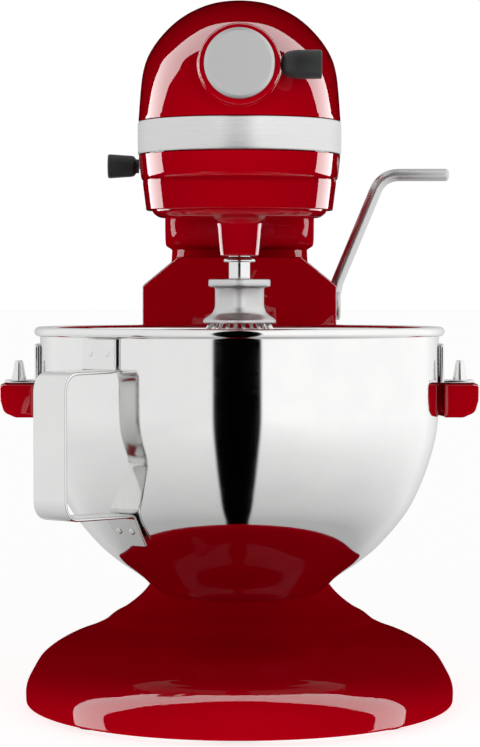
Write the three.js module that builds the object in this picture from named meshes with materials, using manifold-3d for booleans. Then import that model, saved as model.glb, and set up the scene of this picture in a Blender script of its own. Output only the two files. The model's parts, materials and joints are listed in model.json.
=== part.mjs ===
// Bowl-lift stand mixer, in millimetres: X to the right, Y away from the front, Z up, floor at Z = 0.
import * as THREE from "three";
import { mergeVertices } from "three/addons/utils/BufferGeometryUtils.js";
import Module from "manifold-3d";

const wasm = await Module();
wasm.setup();

// ---- driving dimensions ----
const GAP = 0.3; // between pieces that touch
const BOWL_Y = -56; // bowl and planetary axis
const HALF_TURN = Math.PI;
const QUARTER = Math.PI / 2;
const DEG = Math.PI / 180;

const HEAD_TOP = 419;
const HEAD_WALL = 3.5;
const CASE_BOTTOM = 314.5; // underside of the head beside the planetary ring
const SEAM_Z = 338.9; // joint of the two head castings, hidden by the band
const BAND_LOW = 329.5;
const BAND_HIGH = 348.3;
const BAND_RECESS = 2.4;
const BAND_THICK = 1.8;
const HEAD_HALF = 60; // half width at the band
const REAR_SEAM_Y = 140; // rear cover starts here

const RING_R = 57.2; // round ring below the head
const RING_LOW = 296.7;
const CHAMBER_R = 53;
const CHAMBER_TOP = 313;
const FLOOR_TOP = 317;

const HUB_Z = 376.7;
const HUB_FRONT_Y = -143;
const HUB_BOSS_R = 23;
const HUB_SLEEVE_R = 17.2;
const HUB_BORE_R = 13;
const HUB_KNOB_Y = -136;

const BEATER_OFFSET = 26;
const BEATER_Y = BOWL_Y - BEATER_OFFSET;
const BEATER_R = 6.2;

const BOWL_R = 118;
const BOWL_WALL = 1.3;
const RIM_Z = 225.3;
const RIM_BEAD = 2.8;
const PIN_X = 130.9;
const ARM_TOP = 194.6;
const ARM_LOW = 174.4;
const ARM_INNER = 121.3;
const ARM_OUTER = 142;

const CARRIAGE_FRONT = 68; // Y
const CARRIAGE_BACK = 82;
const COLUMN_FRONT = 90;
const COLUMN_TOP = 296.7;
const RAIL_X = 30;
const LIFT_AXIS_Y = 104;
const LIFT_AXIS_Z = 240;

const MOTOR_Z = 366;
const SHAFT_R = 5;

// gear train: teeth and modules
const CENTER_TEETH = 36;
const IDLER_TEETH = 12;
const SPUR_MODULE = 2;
const WHEEL_TEETH = 21;
const WORM_STARTS = 3;
const WORM_MODULE = 1.8;
const WORM_R = 7.1;
const RING_TEETH = 46;
const PLANET_TEETH = 14;
const PLANET_MODULE = (2 * BEATER_OFFSET) / (RING_TEETH - PLANET_TEETH);
const BEVEL_TEETH = 16;
const BEVEL_MODULE = 1.875;
const WHEEL_R = (WHEEL_TEETH * WORM_MODULE) / 2;
const IDLER_X = WORM_R + WHEEL_R;
const SPUR_CENTRES = (SPUR_MODULE * (CENTER_TEETH + IDLER_TEETH)) / 2;
const IDLER_Y = BOWL_Y + Math.sqrt(SPUR_CENTRES ** 2 - IDLER_X ** 2);
const IDLER_ANGLE = Math.atan2(IDLER_Y - BOWL_Y, IDLER_X);

// ---- materials ----
const finish = (color, metalness, roughness) =>
  new THREE.MeshStandardMaterial({ color, metalness, roughness });
const paint = finish(0xbe0519, 0.3, 0.2);
const steel = finish(0xc9cbcc, 1, 0.12);
const brushed = finish(0xbfc1c2, 0.9, 0.35);
const castAlu = finish(0xa9abad, 0.9, 0.5);
const brass = finish(0xb78e45, 0.9, 0.35);
const copper = finish(0xa2603a, 0.9, 0.45);
const black = finish(0x323434, 0, 0.45);
const rubber = finish(0x1f2021, 0, 0.85);
const nylon = finish(0xe4e1d6, 0, 0.6);
const board = finish(0x2f5a3a, 0, 0.6);

// ---- solids ----
const group = new THREE.Group();
group.name = "stand_mixer";

function solid(geometry) {
  const bare = geometry.index ? geometry.toNonIndexed() : geometry;
  const only = new THREE.BufferGeometry();
  only.setAttribute("position", bare.getAttribute("position"));
  const merged = mergeVertices(only, 1e-4);
  const triVerts = new Uint32Array(merged.index.array);
  const vertProperties = merged.attributes.position.array;
  const made = new wasm.Manifold(new wasm.Mesh({ numProp: 3, vertProperties, triVerts }));
  if (made.volume() > 0) return made;
  for (let i = 0; i < triVerts.length; i += 3)
    [triVerts[i], triVerts[i + 1]] = [triVerts[i + 1], triVerts[i]];
  return new wasm.Manifold(new wasm.Mesh({ numProp: 3, vertProperties, triVerts }));
}

const add = (first, ...rest) => rest.reduce((sum, piece) => sum.add(piece), first);
const cut = (first, ...rest) => rest.reduce((left, piece) => left.subtract(piece), first);

function piece(name, shape, material) {
  const { vertProperties, triVerts, numProp } = shape.getMesh();
  const position = new Float32Array((vertProperties.length / numProp) * 3);
  for (let i = 0; i < position.length / 3; i++)
    position.set(vertProperties.subarray(i * numProp, i * numProp + 3), i * 3);
  const geometry = new THREE.BufferGeometry();
  geometry.setAttribute("position", new THREE.BufferAttribute(position, 3));
  geometry.setIndex(new THREE.BufferAttribute(triVerts, 1));
  const flat = geometry.toNonIndexed();
  flat.computeVertexNormals();
  const mesh = new THREE.Mesh(flat, material);
  mesh.name = name;
  group.add(mesh);
}

// Box from its low and high corners.
function box(low, high) {
  const size = high.map((value, i) => value - low[i]);
  const geometry = new THREE.BoxGeometry(...size);
  return solid(geometry.translate(...low.map((value, i) => value + size[i] / 2)));
}

// Turned piece: profile of [radius, height] about an axis through (x, y) along Z.
function turned(profile, sides = 32, x = 0, y = 0) {
  const points = profile.map(([r, z]) => new THREE.Vector2(r, z));
  const geometry = new THREE.LatheGeometry(points, sides).rotateX(QUARTER);
  return solid(geometry.translate(x, y, 0));
}

// Turned piece about an axis along Y (profile heights run towards +Y).
function turnedY(profile, sides, x, z) {
  const points = profile.map(([r, y]) => new THREE.Vector2(r, y));
  return solid(new THREE.LatheGeometry(points, sides).translate(x, 0, z));
}

// Turned piece about an axis along X (profile heights run towards +X).
function turnedX(profile, sides, y, z) {
  const points = profile.map(([r, x]) => new THREE.Vector2(r, x));
  return solid(new THREE.LatheGeometry(points, sides).rotateZ(-QUARTER).translate(0, y, z));
}

const rodProfile = (r, low, high) => [[0, low], [r, low], [r, high], [0, high]];
const tubeProfile = (inner, outer, low, high) =>
  [[inner, low], [outer, low], [outer, high], [inner, high], [inner, low]];

// Closed outlines of equal point counts, joined by side faces and two flat caps.
function loft(outlines) {
  const count = outlines[0].length;
  const position = outlines.flat(2);
  const index = [];
  for (let level = 0; level < outlines.length - 1; level++)
    for (let i = 0; i < count; i++) {
      const a = level * count + i;
      const b = level * count + ((i + 1) % count);
      index.push(a, b, b + count, a, b + count, a + count);
    }
  const flatten = (outline) => outline.map(([x, y]) => new THREE.Vector2(x, y));
  const last = (outlines.length - 1) * count;
  for (const [a, b, c] of THREE.ShapeUtils.triangulateShape(flatten(outlines[0]), []))
    index.push(c, b, a);
  const top = THREE.ShapeUtils.triangulateShape(flatten(outlines[outlines.length - 1]), []);
  for (const [a, b, c] of top) index.push(last + a, last + b, last + c);
  const geometry = new THREE.BufferGeometry();
  geometry.setAttribute("position", new THREE.Float32BufferAttribute(position, 3));
  geometry.setIndex(index);
  return solid(geometry);
}

// Flat outline drawn in two axes and extruded along the third, from low to high.
function slab(points, low, high, axis = "z", turn = 0, shiftY = 0) {
  const shape = new THREE.Shape(points.map(([u, v]) => new THREE.Vector2(u, v)));
  const options = { depth: high - low, bevelEnabled: false };
  const geometry = new THREE.ExtrudeGeometry(shape, options).translate(0, 0, low);
  if (axis === "y") geometry.rotateX(QUARTER).scale(1, -1, 1);
  if (axis === "x") geometry.rotateX(QUARTER).rotateZ(QUARTER);
  return solid(geometry.rotateZ(turn).translate(0, shiftY, 0));
}

// Oval plan outline: half width w, front and rear ends at y, each end a part of a superellipse.
function oval(w, front, rear, z, ends) {
  const { frontDepth, rearDepth, frontPower, rearPower, steps } = ends;
  const points = [];
  const half = (centre, depth, power, start) => {
    for (let i = 0; i <= steps; i++) {
      const t = start + (HALF_TURN * i) / steps;
      const round = (value) => Math.sign(value) * Math.abs(value) ** (2 / power);
      points.push([w * round(Math.cos(t)), centre + depth * round(Math.sin(t)), z]);
    }
  };
  half(rear - rearDepth * w, rearDepth * w, rearPower, 0);
  half(front + frontDepth * w, frontDepth * w, frontPower, HALF_TURN);
  return points;
}

// ---- head ----
const HEAD_ENDS = { frontDepth: 1.2, rearDepth: 0.85, frontPower: 2.15, rearPower: 2.15, steps: 11 };
const HEAD_INNER = { ...HEAD_ENDS, steps: 6 };
// height, half width, front and rear end of the head's outside
const LOWER_LEVELS = [
  [CASE_BOTTOM, 57.2, -122, 148],
  [CASE_BOTTOM + 1.6, 58.2, -124.5, 152],
  [322, 58.9, -127.5, 166],
  [329.2, 59.5, -130.5, 175],
  [SEAM_Z, 59.8, -132.2, 182],
];
const UPPER_LEVELS = [
  [SEAM_Z, 59.8, -132.2, 182],
  [348.6, 59.6, -133.2, 185],
  [358, 58.9, -133.2, 186],
  [368, 58.1, -131.8, 185.5],
  [377, 57, -129, 183.5],
  [386, 54.4, -125.4, 179.5],
  [395, 49, -120.2, 173.5],
  [403, 41.8, -114, 165],
  [409, 34.4, -107, 154],
  [413.6, 26, -99, 142],
  [417, 16.8, -89, 126],
  [HEAD_TOP, 4, -76, 104],
];

const headBody = (levels, inset = 0, ends = HEAD_ENDS) =>
  loft(levels.map(([z, w, front, rear]) => oval(w - inset, front + inset, rear - inset, z, ends)));

const raised = (levels, index, z) => {
  const copy = levels.map((level) => [...level]);
  copy[index][0] = z;
  return copy;
};

function headCavity() {
  const low = raised(LOWER_LEVELS, 0, FLOOR_TOP).filter((_, i) => i !== 1);
  const roof = [HEAD_TOP - HEAD_WALL, 20, -88, 134];
  const high = UPPER_LEVELS.slice(1, -3);
  return headBody([...low, ...high, roof], HEAD_WALL + BAND_RECESS - 1, HEAD_INNER);
}

const frontHalf = (low, high) => box([-90, -200, low], [90, REAR_SEAM_Y, high]);
const bandZone = box([-90, -200, BAND_LOW - GAP], [90, REAR_SEAM_Y, BAND_HIGH + GAP]);
const bandGroove = cut(
  bandZone,
  headBody([...LOWER_LEVELS.slice(2), ...UPPER_LEVELS.slice(1, 3)], BAND_RECESS),
);

const hubRod = (r, from, to, sides = 32) => turnedY(rodProfile(r, from, to), sides, 0, HUB_Z);
const acrossRod = (r, from, to, y, z, sides = 14) => turnedX(rodProfile(r, from, to), sides, y, z);
const cavity = headCavity();

const hubPassage = hubRod(HUB_SLEEVE_R + GAP, HUB_FRONT_Y - 1, -100);
const knobPassage = acrossRod(3, 5, 30, HUB_KNOB_Y, HUB_Z, 10);
const BRUSH_Y = 118;
const brushPassage = add(acrossRod(7, -80, 80, BRUSH_Y, MOTOR_Z),
  acrossRod(8.4, -80, -56.9, BRUSH_Y, MOTOR_Z), acrossRod(8.4, 56.9, 80, BRUSH_Y, MOTOR_Z));
const HUB_STEP_Y = -119; // the hub's wide collar ends here
const HUB_SEAT_Y = -112;
const seat = hubRod(HUB_BOSS_R + 3.6, -136, HUB_SEAT_Y).intersect(headBody(UPPER_LEVELS));
const collarPassage = hubRod(HUB_BOSS_R + GAP, HUB_FRONT_Y - 1, HUB_STEP_Y + GAP);
const housing = cut(add(cut(headBody(UPPER_LEVELS), cavity), seat),
  bandGroove, hubPassage, collarPassage, knobPassage, brushPassage);
piece("housing_upper", housing.intersect(frontHalf(SEAM_Z, 430)), paint);

const RING_EDGE = 4;
const RING_TAPER = 1.5; // the ring narrows by this towards its lower edge
const ringProfile = [[0, RING_LOW], [CHAMBER_R + 0.6, RING_LOW],
  [RING_R - RING_TAPER - 0.9, RING_LOW + 1.4], [RING_R - RING_TAPER, RING_LOW + RING_EDGE],
  [RING_R, CASE_BOTTOM - 2], [RING_R, CASE_BOTTOM + 1], [0, CASE_BOTTOM + 1]];
const NECK_ENDS = { frontDepth: 0.3, rearDepth: 0.5, frontPower: 2.6, rearPower: 2.6, steps: 8 };
const neckLevels = [[297, 46, -20, 146], [299, 49, -20, 149], [308, 51.5, -20, 152], [316, 52, -20, 153]];
const neckBlock = loft(neckLevels.map(([z, w, f, r]) => oval(w, f, r, z, NECK_ENDS)));
const neckPocket = box([-44, 8, 301], [44, 134, 330]);
const chamber = turned(rodProfile(CHAMBER_R, RING_LOW - 1, CHAMBER_TOP), 40, 0, BOWL_Y);
const shaftHole = turned(rodProfile(14, 300, 330), 16, 0, BOWL_Y);
const idlerHole = turned(rodProfile(SHAFT_R + GAP, FLOOR_TOP - 3, 330), 16, IDLER_X, IDLER_Y);
const SPEED_Z = 324.4;
const SPEED_Y = -26; // lever at rest
const speedSlot = box([-70, SPEED_Y - 36, SPEED_Z - 2.4], [-50, SPEED_Y + 6, SPEED_Z + 2.4]);
const caseOuter = add(headBody(LOWER_LEVELS), turned(ringProfile, 40, 0, BOWL_Y), neckBlock);
const lowerCase = cut(caseOuter, cavity, bandGroove, neckPocket, chamber, shaftHole, idlerHole, speedSlot);
piece("gearcase_lower", lowerCase.intersect(frontHalf(290, SEAM_Z - GAP)), paint);

const BAND_LEVELS = [
  [BAND_LOW, HEAD_HALF, -131.6, 177],
  [BAND_HIGH, HEAD_HALF, -133.6, 186],
];
const bandInner = headBody([
  [BAND_LOW - 1, ...BAND_LEVELS[0].slice(1)],
  [BAND_HIGH + 1, ...BAND_LEVELS[1].slice(1)],
], BAND_THICK);
piece("trim_band", cut(headBody(BAND_LEVELS), bandInner).intersect(
  box([-90, -200, 300], [90, REAR_SEAM_Y - GAP, 400])), brushed);

const rearShell = cut(headBody([...LOWER_LEVELS, ...UPPER_LEVELS.slice(1)]), cavity);
const SCREW_Z = MOTOR_Z + 20;
const SCREW_SEAT_Y = 181.8;
const rearScrewSeat = turnedY(rodProfile(6.8, 172, SCREW_SEAT_Y - GAP), 20, 0, SCREW_Z);
const rearScrewHole = turnedY(rodProfile(2.5, 150, 200), 12, 0, SCREW_Z);
piece("rear_cover", cut(add(rearShell, rearScrewSeat), rearScrewHole)
  .intersect(box([-90, REAR_SEAM_Y + GAP, 300], [90, 200, 430])), paint);
const screwProfile = [[0, 162], [2, 162], [2, SCREW_SEAT_Y], [4.5, SCREW_SEAT_Y], [4.5, SCREW_SEAT_Y + 1.4],
  [0, SCREW_SEAT_Y + 1.8]];
piece("rear_cover_screw", turnedY(screwProfile, 12, 0, SCREW_Z), brushed);

// ---- attachment hub ----
const hubProfile = [[HUB_BORE_R, HUB_FRONT_Y], [HUB_BOSS_R - 2, HUB_FRONT_Y], [HUB_BOSS_R, HUB_FRONT_Y + 2],
  [HUB_BOSS_R, HUB_STEP_Y], [HUB_SLEEVE_R, HUB_STEP_Y], [HUB_SLEEVE_R, -103], [HUB_BORE_R, -103],
  [HUB_BORE_R, HUB_FRONT_Y]];
piece("hub_socket", cut(turnedY(hubProfile, 32, 0, HUB_Z), knobPassage), castAlu);

const CAP_R = 19.9;
const capProfile = [[0, HUB_FRONT_Y - 5], [CAP_R - 1.6, HUB_FRONT_Y - 5], [CAP_R, HUB_FRONT_Y - 3.6],
  [CAP_R, HUB_FRONT_Y - GAP], [HUB_BORE_R - GAP, HUB_FRONT_Y - GAP], [HUB_BORE_R - GAP, HUB_FRONT_Y + 4],
  [0, HUB_FRONT_Y + 4]];
piece("hub_cap", turnedY(capProfile, 32, 0, HUB_Z), castAlu);

const knobBody = [[0, 24.5], [6, 24.5], [7.6, 25.6], [8.2, 28], [8.2, 45.2], [7.4, 46.4], [0, 46.4]];
const knobNeck = rodProfile(3.7, 23.8, 26);
const knobBore = acrossRod(2.4, 20, 38, HUB_KNOB_Y, HUB_Z, 8);
piece("hub_knob", cut(add(turnedX(knobBody, 14, HUB_KNOB_Y, HUB_Z),
  turnedX(knobNeck, 10, HUB_KNOB_Y, HUB_Z)), knobBore), black);
piece("hub_knob_stud", acrossRod(2, 13.6, 37, HUB_KNOB_Y, HUB_Z), brushed);

// ---- gears ----
// Tooth form in shares of the module: heights from the pitch circle and half widths at root and tip.
const ROOT_DEPTH = 1.1;
const TIP_HEIGHT = 0.85;
const ROOT_HALF = 1.18;
const TIP_HALF = 0.48;
const polar = ([r, a]) => [r * Math.cos(a), r * Math.sin(a)];

// Toothed outline: tooth centred on phase; slack narrows each tooth by that share of the module.
function teeth(count, module, phase, slack, internal = false) {
  const pitch = (count * module) / 2;
  const out = internal ? -module : module;
  const rootAngle = ((ROOT_HALF - slack) * module) / pitch;
  const tipAngle = ((TIP_HALF - slack) * module) / pitch;
  const root = pitch - out * ROOT_DEPTH;
  const tip = pitch + out * TIP_HEIGHT;
  const points = [];
  for (let k = 0; k < count; k++) {
    const centre = phase + (2 * HALF_TURN * k) / count;
    points.push([root, centre - rootAngle], [tip, centre - tipAngle]);
    points.push([tip, centre + tipAngle], [root, centre + rootAngle]);
  }
  return points.map(polar);
}

const placed = (outline, x, y, z, turn = 0, size = 1) =>
  outline.map(([u, v]) => [
    x + size * (u * Math.cos(turn) - v * Math.sin(turn)),
    y + size * (u * Math.sin(turn) + v * Math.cos(turn)),
    z,
  ]);

const SLACK = 0.22;
const centreOutline = teeth(CENTER_TEETH, SPUR_MODULE, IDLER_ANGLE, SLACK);
const bore = (r, x, y, low = 250, high = 400) => turned(rodProfile(r, low, high), 14, x, y);
const P_SHAFT_R = 7.5;
piece("center_gear", cut(
  loft([placed(centreOutline, 0, BOWL_Y, 323), placed(centreOutline, 0, BOWL_Y, 332)]),
  bore(P_SHAFT_R + GAP, 0, BOWL_Y)), steel);

const idlerOutline = teeth(IDLER_TEETH, SPUR_MODULE,
  IDLER_ANGLE + HALF_TURN + HALF_TURN / IDLER_TEETH, SLACK);
piece("intermediate_pinion", cut(
  loft([placed(idlerOutline, IDLER_X, IDLER_Y, 321), placed(idlerOutline, IDLER_X, IDLER_Y, 334)]),
  bore(SHAFT_R + GAP, IDLER_X, IDLER_Y)), steel);
piece("intermediate_shaft", turned(rodProfile(SHAFT_R, FLOOR_TOP - 2.6, 375), 16, IDLER_X, IDLER_Y), steel);

const LEAD = WORM_STARTS * Math.PI * WORM_MODULE;
const WHEEL_WIDTH = 8;
const wheelTwist = LEAD / (2 * Math.PI * WORM_R * WHEEL_R); // radians per mm of height
const wheelOutline = teeth(WHEEL_TEETH, WORM_MODULE, HALF_TURN, SLACK);
const wheelLevels = [-0.5, 0.5].map((t) => placed(wheelOutline, IDLER_X, IDLER_Y,
  MOTOR_Z + t * WHEEL_WIDTH, t * WHEEL_WIDTH * wheelTwist));
piece("worm_gear", cut(loft(wheelLevels), bore(SHAFT_R + GAP, IDLER_X, IDLER_Y)), brass);

// The worm is a three-toothed outline twisted along its axis, then laid along Y.
const WORM_LENGTH = 26;
const WORM_STEPS = 18;
function wormOutline() {
  const perMm = (2 * Math.PI) / LEAD;
  const root = WORM_R - ROOT_DEPTH * WORM_MODULE;
  const tip = WORM_R + TIP_HEIGHT * WORM_MODULE;
  const rootHalf = (ROOT_HALF - SLACK) * WORM_MODULE * perMm;
  const tipHalf = (TIP_HALF - SLACK) * WORM_MODULE * perMm;
  const points = [];
  for (let k = 0; k < WORM_STARTS; k++) {
    const centre = (2 * HALF_TURN * (k + 0.5)) / WORM_STARTS;
    points.push([root, centre - rootHalf], [tip, centre - tipHalf]);
    points.push([tip, centre + tipHalf], [root, centre + rootHalf]);
  }
  return points.map(polar);
}
// Laid along Y the outline is mirrored, so the twist runs the other way.
function wormLevels() {
  const outline = wormOutline();
  const levels = [];
  for (let i = 0; i <= WORM_STEPS; i++) {
    const along = WORM_LENGTH * (i / WORM_STEPS - 0.5);
    levels.push(placed(outline, 0, 0, along, (-2 * Math.PI * along) / LEAD));
  }
  return levels;
}
// Loft whose outlines (u, v) stand across X and Z and are stacked along Y.
function laidAlongY(levels, x, y, z) {
  const count = levels[0].length;
  const position = levels.flatMap((level) => level.flatMap(([u, v, w]) => [u, w, v]));
  const index = [];
  for (let level = 0; level < levels.length - 1; level++)
    for (let i = 0; i < count; i++) {
      const a = level * count + i;
      const b = level * count + ((i + 1) % count);
      index.push(a, b + count, b, a, a + count, b + count);
    }
  const capOf = (level, base, flip) => {
    const flat = level.map(([u, v]) => new THREE.Vector2(u, v));
    for (const [a, b, c] of THREE.ShapeUtils.triangulateShape(flat, []))
      index.push(base + a, base + (flip ? c : b), base + (flip ? b : c));
  };
  capOf(levels[0], 0, false);
  capOf(levels[levels.length - 1], (levels.length - 1) * count, true);
  const geometry = new THREE.BufferGeometry();
  geometry.setAttribute("position", new THREE.Float32BufferAttribute(position, 3));
  geometry.setIndex(index);
  return solid(geometry.translate(x, y, z));
}
piece("worm", cut(laidAlongY(wormLevels(), 0, IDLER_Y, MOTOR_Z),
  turnedY(rodProfile(3.2, -100, 100), 12, 0, MOTOR_Z)), steel);

// Mitre pair: outlines shrink towards the point where the two axes cross.
const BEVEL_R = (BEVEL_TEETH * BEVEL_MODULE) / 2;
const BEVEL_WIDTH = 5;
const bevelOutline = (phase) => teeth(BEVEL_TEETH, BEVEL_MODULE, phase, 0.3);
function bevelLevels(phase) {
  const outline = bevelOutline(phase);
  const scaleAt = (t) => (BEVEL_R - t) / BEVEL_R;
  return [0, BEVEL_WIDTH].map((t) => placed(outline, 0, 0, t, 0, scaleAt(t)));
}
const crown = loft(bevelLevels(-QUARTER).map((level) =>
  level.map(([u, v, w]) => [u, v + BOWL_Y, w + HUB_Z - BEVEL_R])));
piece("crown_bevel_gear", cut(crown, bore(5.3, 0, BOWL_Y)), steel);
const hubBevel = laidAlongY(bevelLevels(-QUARTER + HALF_TURN / BEVEL_TEETH), 0, BOWL_Y - BEVEL_R, HUB_Z);
piece("hub_bevel_gear", cut(hubBevel, hubRod(4.3, -120, 0, 16)), steel);
const hubShaft = turnedY([[0, -117], [10, -117], [10, -104], [4, -102], [4, BOWL_Y - BEVEL_R + 5],
  [0, BOWL_Y - BEVEL_R + 5]], 20, 0, HUB_Z);
const SQUARE = 4.8;
piece("hub_drive_shaft", cut(hubShaft,
  box([-SQUARE, -118, HUB_Z - SQUARE], [SQUARE, -107, HUB_Z + SQUARE])), steel);

// ---- planetary ----
const DISC_R = 52;
const carrierProfile = [[0, 292.6], [DISC_R - 4.4, 292.6], [DISC_R - 2, 293.8], [DISC_R - 0.4, 296],
  [DISC_R, 298], [DISC_R, 299.6], [0, 299.6]];
const neckProfile = [[0, 269.6], [11, 269.6], [11.7, 270.6], [13.2, 287], [14.4, 290], [18.5, 293], [0, 293]];
const shaftSocket = bore(P_SHAFT_R + GAP, 0, BOWL_Y, 295, 310);
const beaterBore = bore(BEATER_R + GAP, 0, BEATER_Y, 260, 310);
piece("planetary_carrier", cut(add(turned(carrierProfile, 40, 0, BOWL_Y),
  turned(neckProfile, 20, 0, BEATER_Y)), shaftSocket, beaterBore), paint);
piece("planetary_shaft", turned([[0, 295.3], [P_SHAFT_R, 295.3], [P_SHAFT_R, 354], [5, 354],
  [5, 366], [0, 366]], 14, 0, BOWL_Y), steel);
const ringPitch = (RING_TEETH * PLANET_MODULE) / 2;
const ringTeeth = teeth(RING_TEETH, PLANET_MODULE, -QUARTER, SLACK, true);
const ringOuter = turned(rodProfile(ringPitch + 6, 302.5, 309.5), 32, 0, BOWL_Y);
piece("ring_gear", cut(ringOuter,
  loft([placed(ringTeeth, 0, BOWL_Y, 302), placed(ringTeeth, 0, BOWL_Y, 310)])), castAlu);
const planetTeeth = teeth(PLANET_TEETH, PLANET_MODULE, -QUARTER + HALF_TURN / PLANET_TEETH, SLACK);
piece("planet_pinion", cut(
  loft([placed(planetTeeth, 0, BEATER_Y, 302.5), placed(planetTeeth, 0, BEATER_Y, 310)]),
  bore(BEATER_R + GAP, 0, BEATER_Y)), steel);

const PIN_Z = 249;
const pinHole = acrossRod(2.2, -20, 20, BEATER_Y, PIN_Z, 12);
piece("beater_shaft", cut(turned([[0, 238], [5.4, 238], [BEATER_R, 239], [BEATER_R, 311], [0, 311]],
  14, 0, BEATER_Y), pinHole), steel);
piece("shaft_pin", acrossRod(1.9, -11, 11, BEATER_Y, PIN_Z, 12), steel);
piece("shaft_washer", turned([[BEATER_R + GAP, 266], [9.4, 266], [8.8, 268], [7.6, 269.2],
  [BEATER_R + GAP, 269.2], [BEATER_R + GAP, 266]], 18, 0, BEATER_Y), rubber);

// ---- whisk ----
const HUB_LOW = 230.5;
const whiskHubProfile = [[0, HUB_LOW], [21.3, HUB_LOW], [20.6, 233], [16.2, 236], [14.3, 239], [14.3, 251],
  [17.3, 251.5], [18.1, 252.5], [18.1, 255.4], [17.2, 256.2], [0, 256.2]];
const pinSlot = box([-11.6, BEATER_Y - 2.5, PIN_Z - 2.5], [11.6, BEATER_Y + 2.5, 260]);
piece("whisk_hub", cut(turned(whiskHubProfile, 24, 0, BEATER_Y),
  bore(BEATER_R + GAP, 0, BEATER_Y, 236.5, 260), pinSlot), castAlu);

const WIRE_R = 1.05;
const WIRE_SIDES = 5;
const WIRE_LOOPS = 6;
// radius and height of a strand, from the hub to the bottom centre
const STRAND = [[17.6, 229.4], [22, 222], [35, 200], [47.5, 170], [52, 142], [50, 122], [42.5, 107.5],
  [30, 96.5], [15, 90.6], [0, 89]];
function wireLoop(angle) {
  const across = [...STRAND, ...STRAND.slice(0, -1).reverse().map(([r, z]) => [-r, z])];
  const points = across.map(([r, z]) =>
    new THREE.Vector3(r * Math.cos(angle), BEATER_Y + r * Math.sin(angle), z));
  const path = new THREE.CatmullRomCurve3(points);
  const shape = new THREE.Shape();
  for (let i = 0; i < WIRE_SIDES; i++) {
    const t = (2 * Math.PI * i) / WIRE_SIDES;
    const corner = [WIRE_R * Math.cos(t), WIRE_R * Math.sin(t)];
    if (i) shape.lineTo(...corner);
    else shape.moveTo(...corner);
  }
  shape.closePath();
  return solid(new THREE.ExtrudeGeometry(shape, { steps: 16, extrudePath: path, bevelEnabled: false }));
}
const loops = [];
for (let i = 0; i < WIRE_LOOPS; i++) loops.push(wireLoop((Math.PI * (i + 0.25)) / WIRE_LOOPS));
piece("whisk_wires", add(...loops), steel);

// ---- motor ----
const turnAlong = (profile, sides) => turnedY(profile, sides, 0, MOTOR_Z);
const statorOuter = turnAlong(rodProfile(39, 24, 74), 24);
const statorFlats = box([-34, 20, MOTOR_Z - 45], [34, 80, MOTOR_Z + 38]);
piece("motor_field", cut(statorOuter.intersect(statorFlats), turnAlong(rodProfile(24, 20, 80), 24)), castAlu);
// worm journal, shaft, winding pack, commutator and rear journal, from the front
const armatureProfile = [[0, -29.5], [2.9, -29.5], [2.9, -1.5], [SHAFT_R, -1.4], [SHAFT_R, 26],
  [22.5, 26], [22.5, 72], [16, 78], [9, 80], [9, 106], [13, 107], [13, 124], [SHAFT_R, 125],
  [SHAFT_R, 144], [0, 144]];
piece("armature", turnAlong(armatureProfile, 16), copper);
const FAN_BLADES = 6;
const fanHub = turnAlong(tubeProfile(9.5, 33, 88, 90.5), 20);
const blades = [];
for (let i = 0; i < FAN_BLADES; i++) {
  const blade = new THREE.BoxGeometry(20, 9, 2).translate(22, 94.5, 0);
  blades.push(solid(blade.rotateY((2 * Math.PI * i) / FAN_BLADES).translate(0, 0, MOTOR_Z)));
}
piece("fan", add(fanHub, ...blades), nylon);
piece("bearing_motor_rear", turnAlong(tubeProfile(SHAFT_R + GAP, 11, 136, 143), 14), brass);
piece("bearing_planetary", turned(tubeProfile(P_SHAFT_R + GAP, 13.5, CHAMBER_TOP, FLOOR_TOP + 3),
  16, 0, BOWL_Y), steel);
const coverHoles = add(bore(12.3, 0, BOWL_Y, 330, 356), bore(SHAFT_R + GAP, IDLER_X, IDLER_Y, 330, 356));
const coverPlate = slab([[-46, -90], [-30, -108], [30, -108], [46, -90], [46, 8], [-46, 8]], 341, 345);
piece("gearbox_cover", cut(coverPlate, coverHoles), castAlu);
piece("bearing_upper", turned(tubeProfile(P_SHAFT_R + GAP, 12, 339.5, 346.5), 14, 0, BOWL_Y), brass);
piece("control_board", cut(turnAlong(rodProfile(34, 148, 150), 28)
  .intersect(box([-28, 140, 330], [28, 160, 392])), turnAlong(rodProfile(4, 140, 160), 12)), board);

const brushCapProfile = [[0, 48], [6.6, 48], [6.6, 57.4], [8, 57.8], [8, 59.4], [7.2, 60.2], [0, 60.2]];
const brushProfile = [[0, 14], [4, 14], [4, 30], [5.5, 30], [5.5, 47.6], [0, 47.6]];
for (const [side, sign] of [["left", -1], ["right", 1]]) {
  const mirrored = (profile) => profile.map(([r, x]) => [r, sign * x]);
  piece("brush_cap_" + side, cut(turnedX(mirrored(brushCapProfile), 16, BRUSH_Y, MOTOR_Z),
    box([sign * 59.2 - 1.2, BRUSH_Y - 6, MOTOR_Z - 0.8], [sign * 59.2 + 1.2, BRUSH_Y + 6, MOTOR_Z + 0.8])),
    black);
  piece("brush_" + side, turnedX(mirrored(brushProfile), 12, BRUSH_Y, MOTOR_Z), brass);
}

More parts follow.
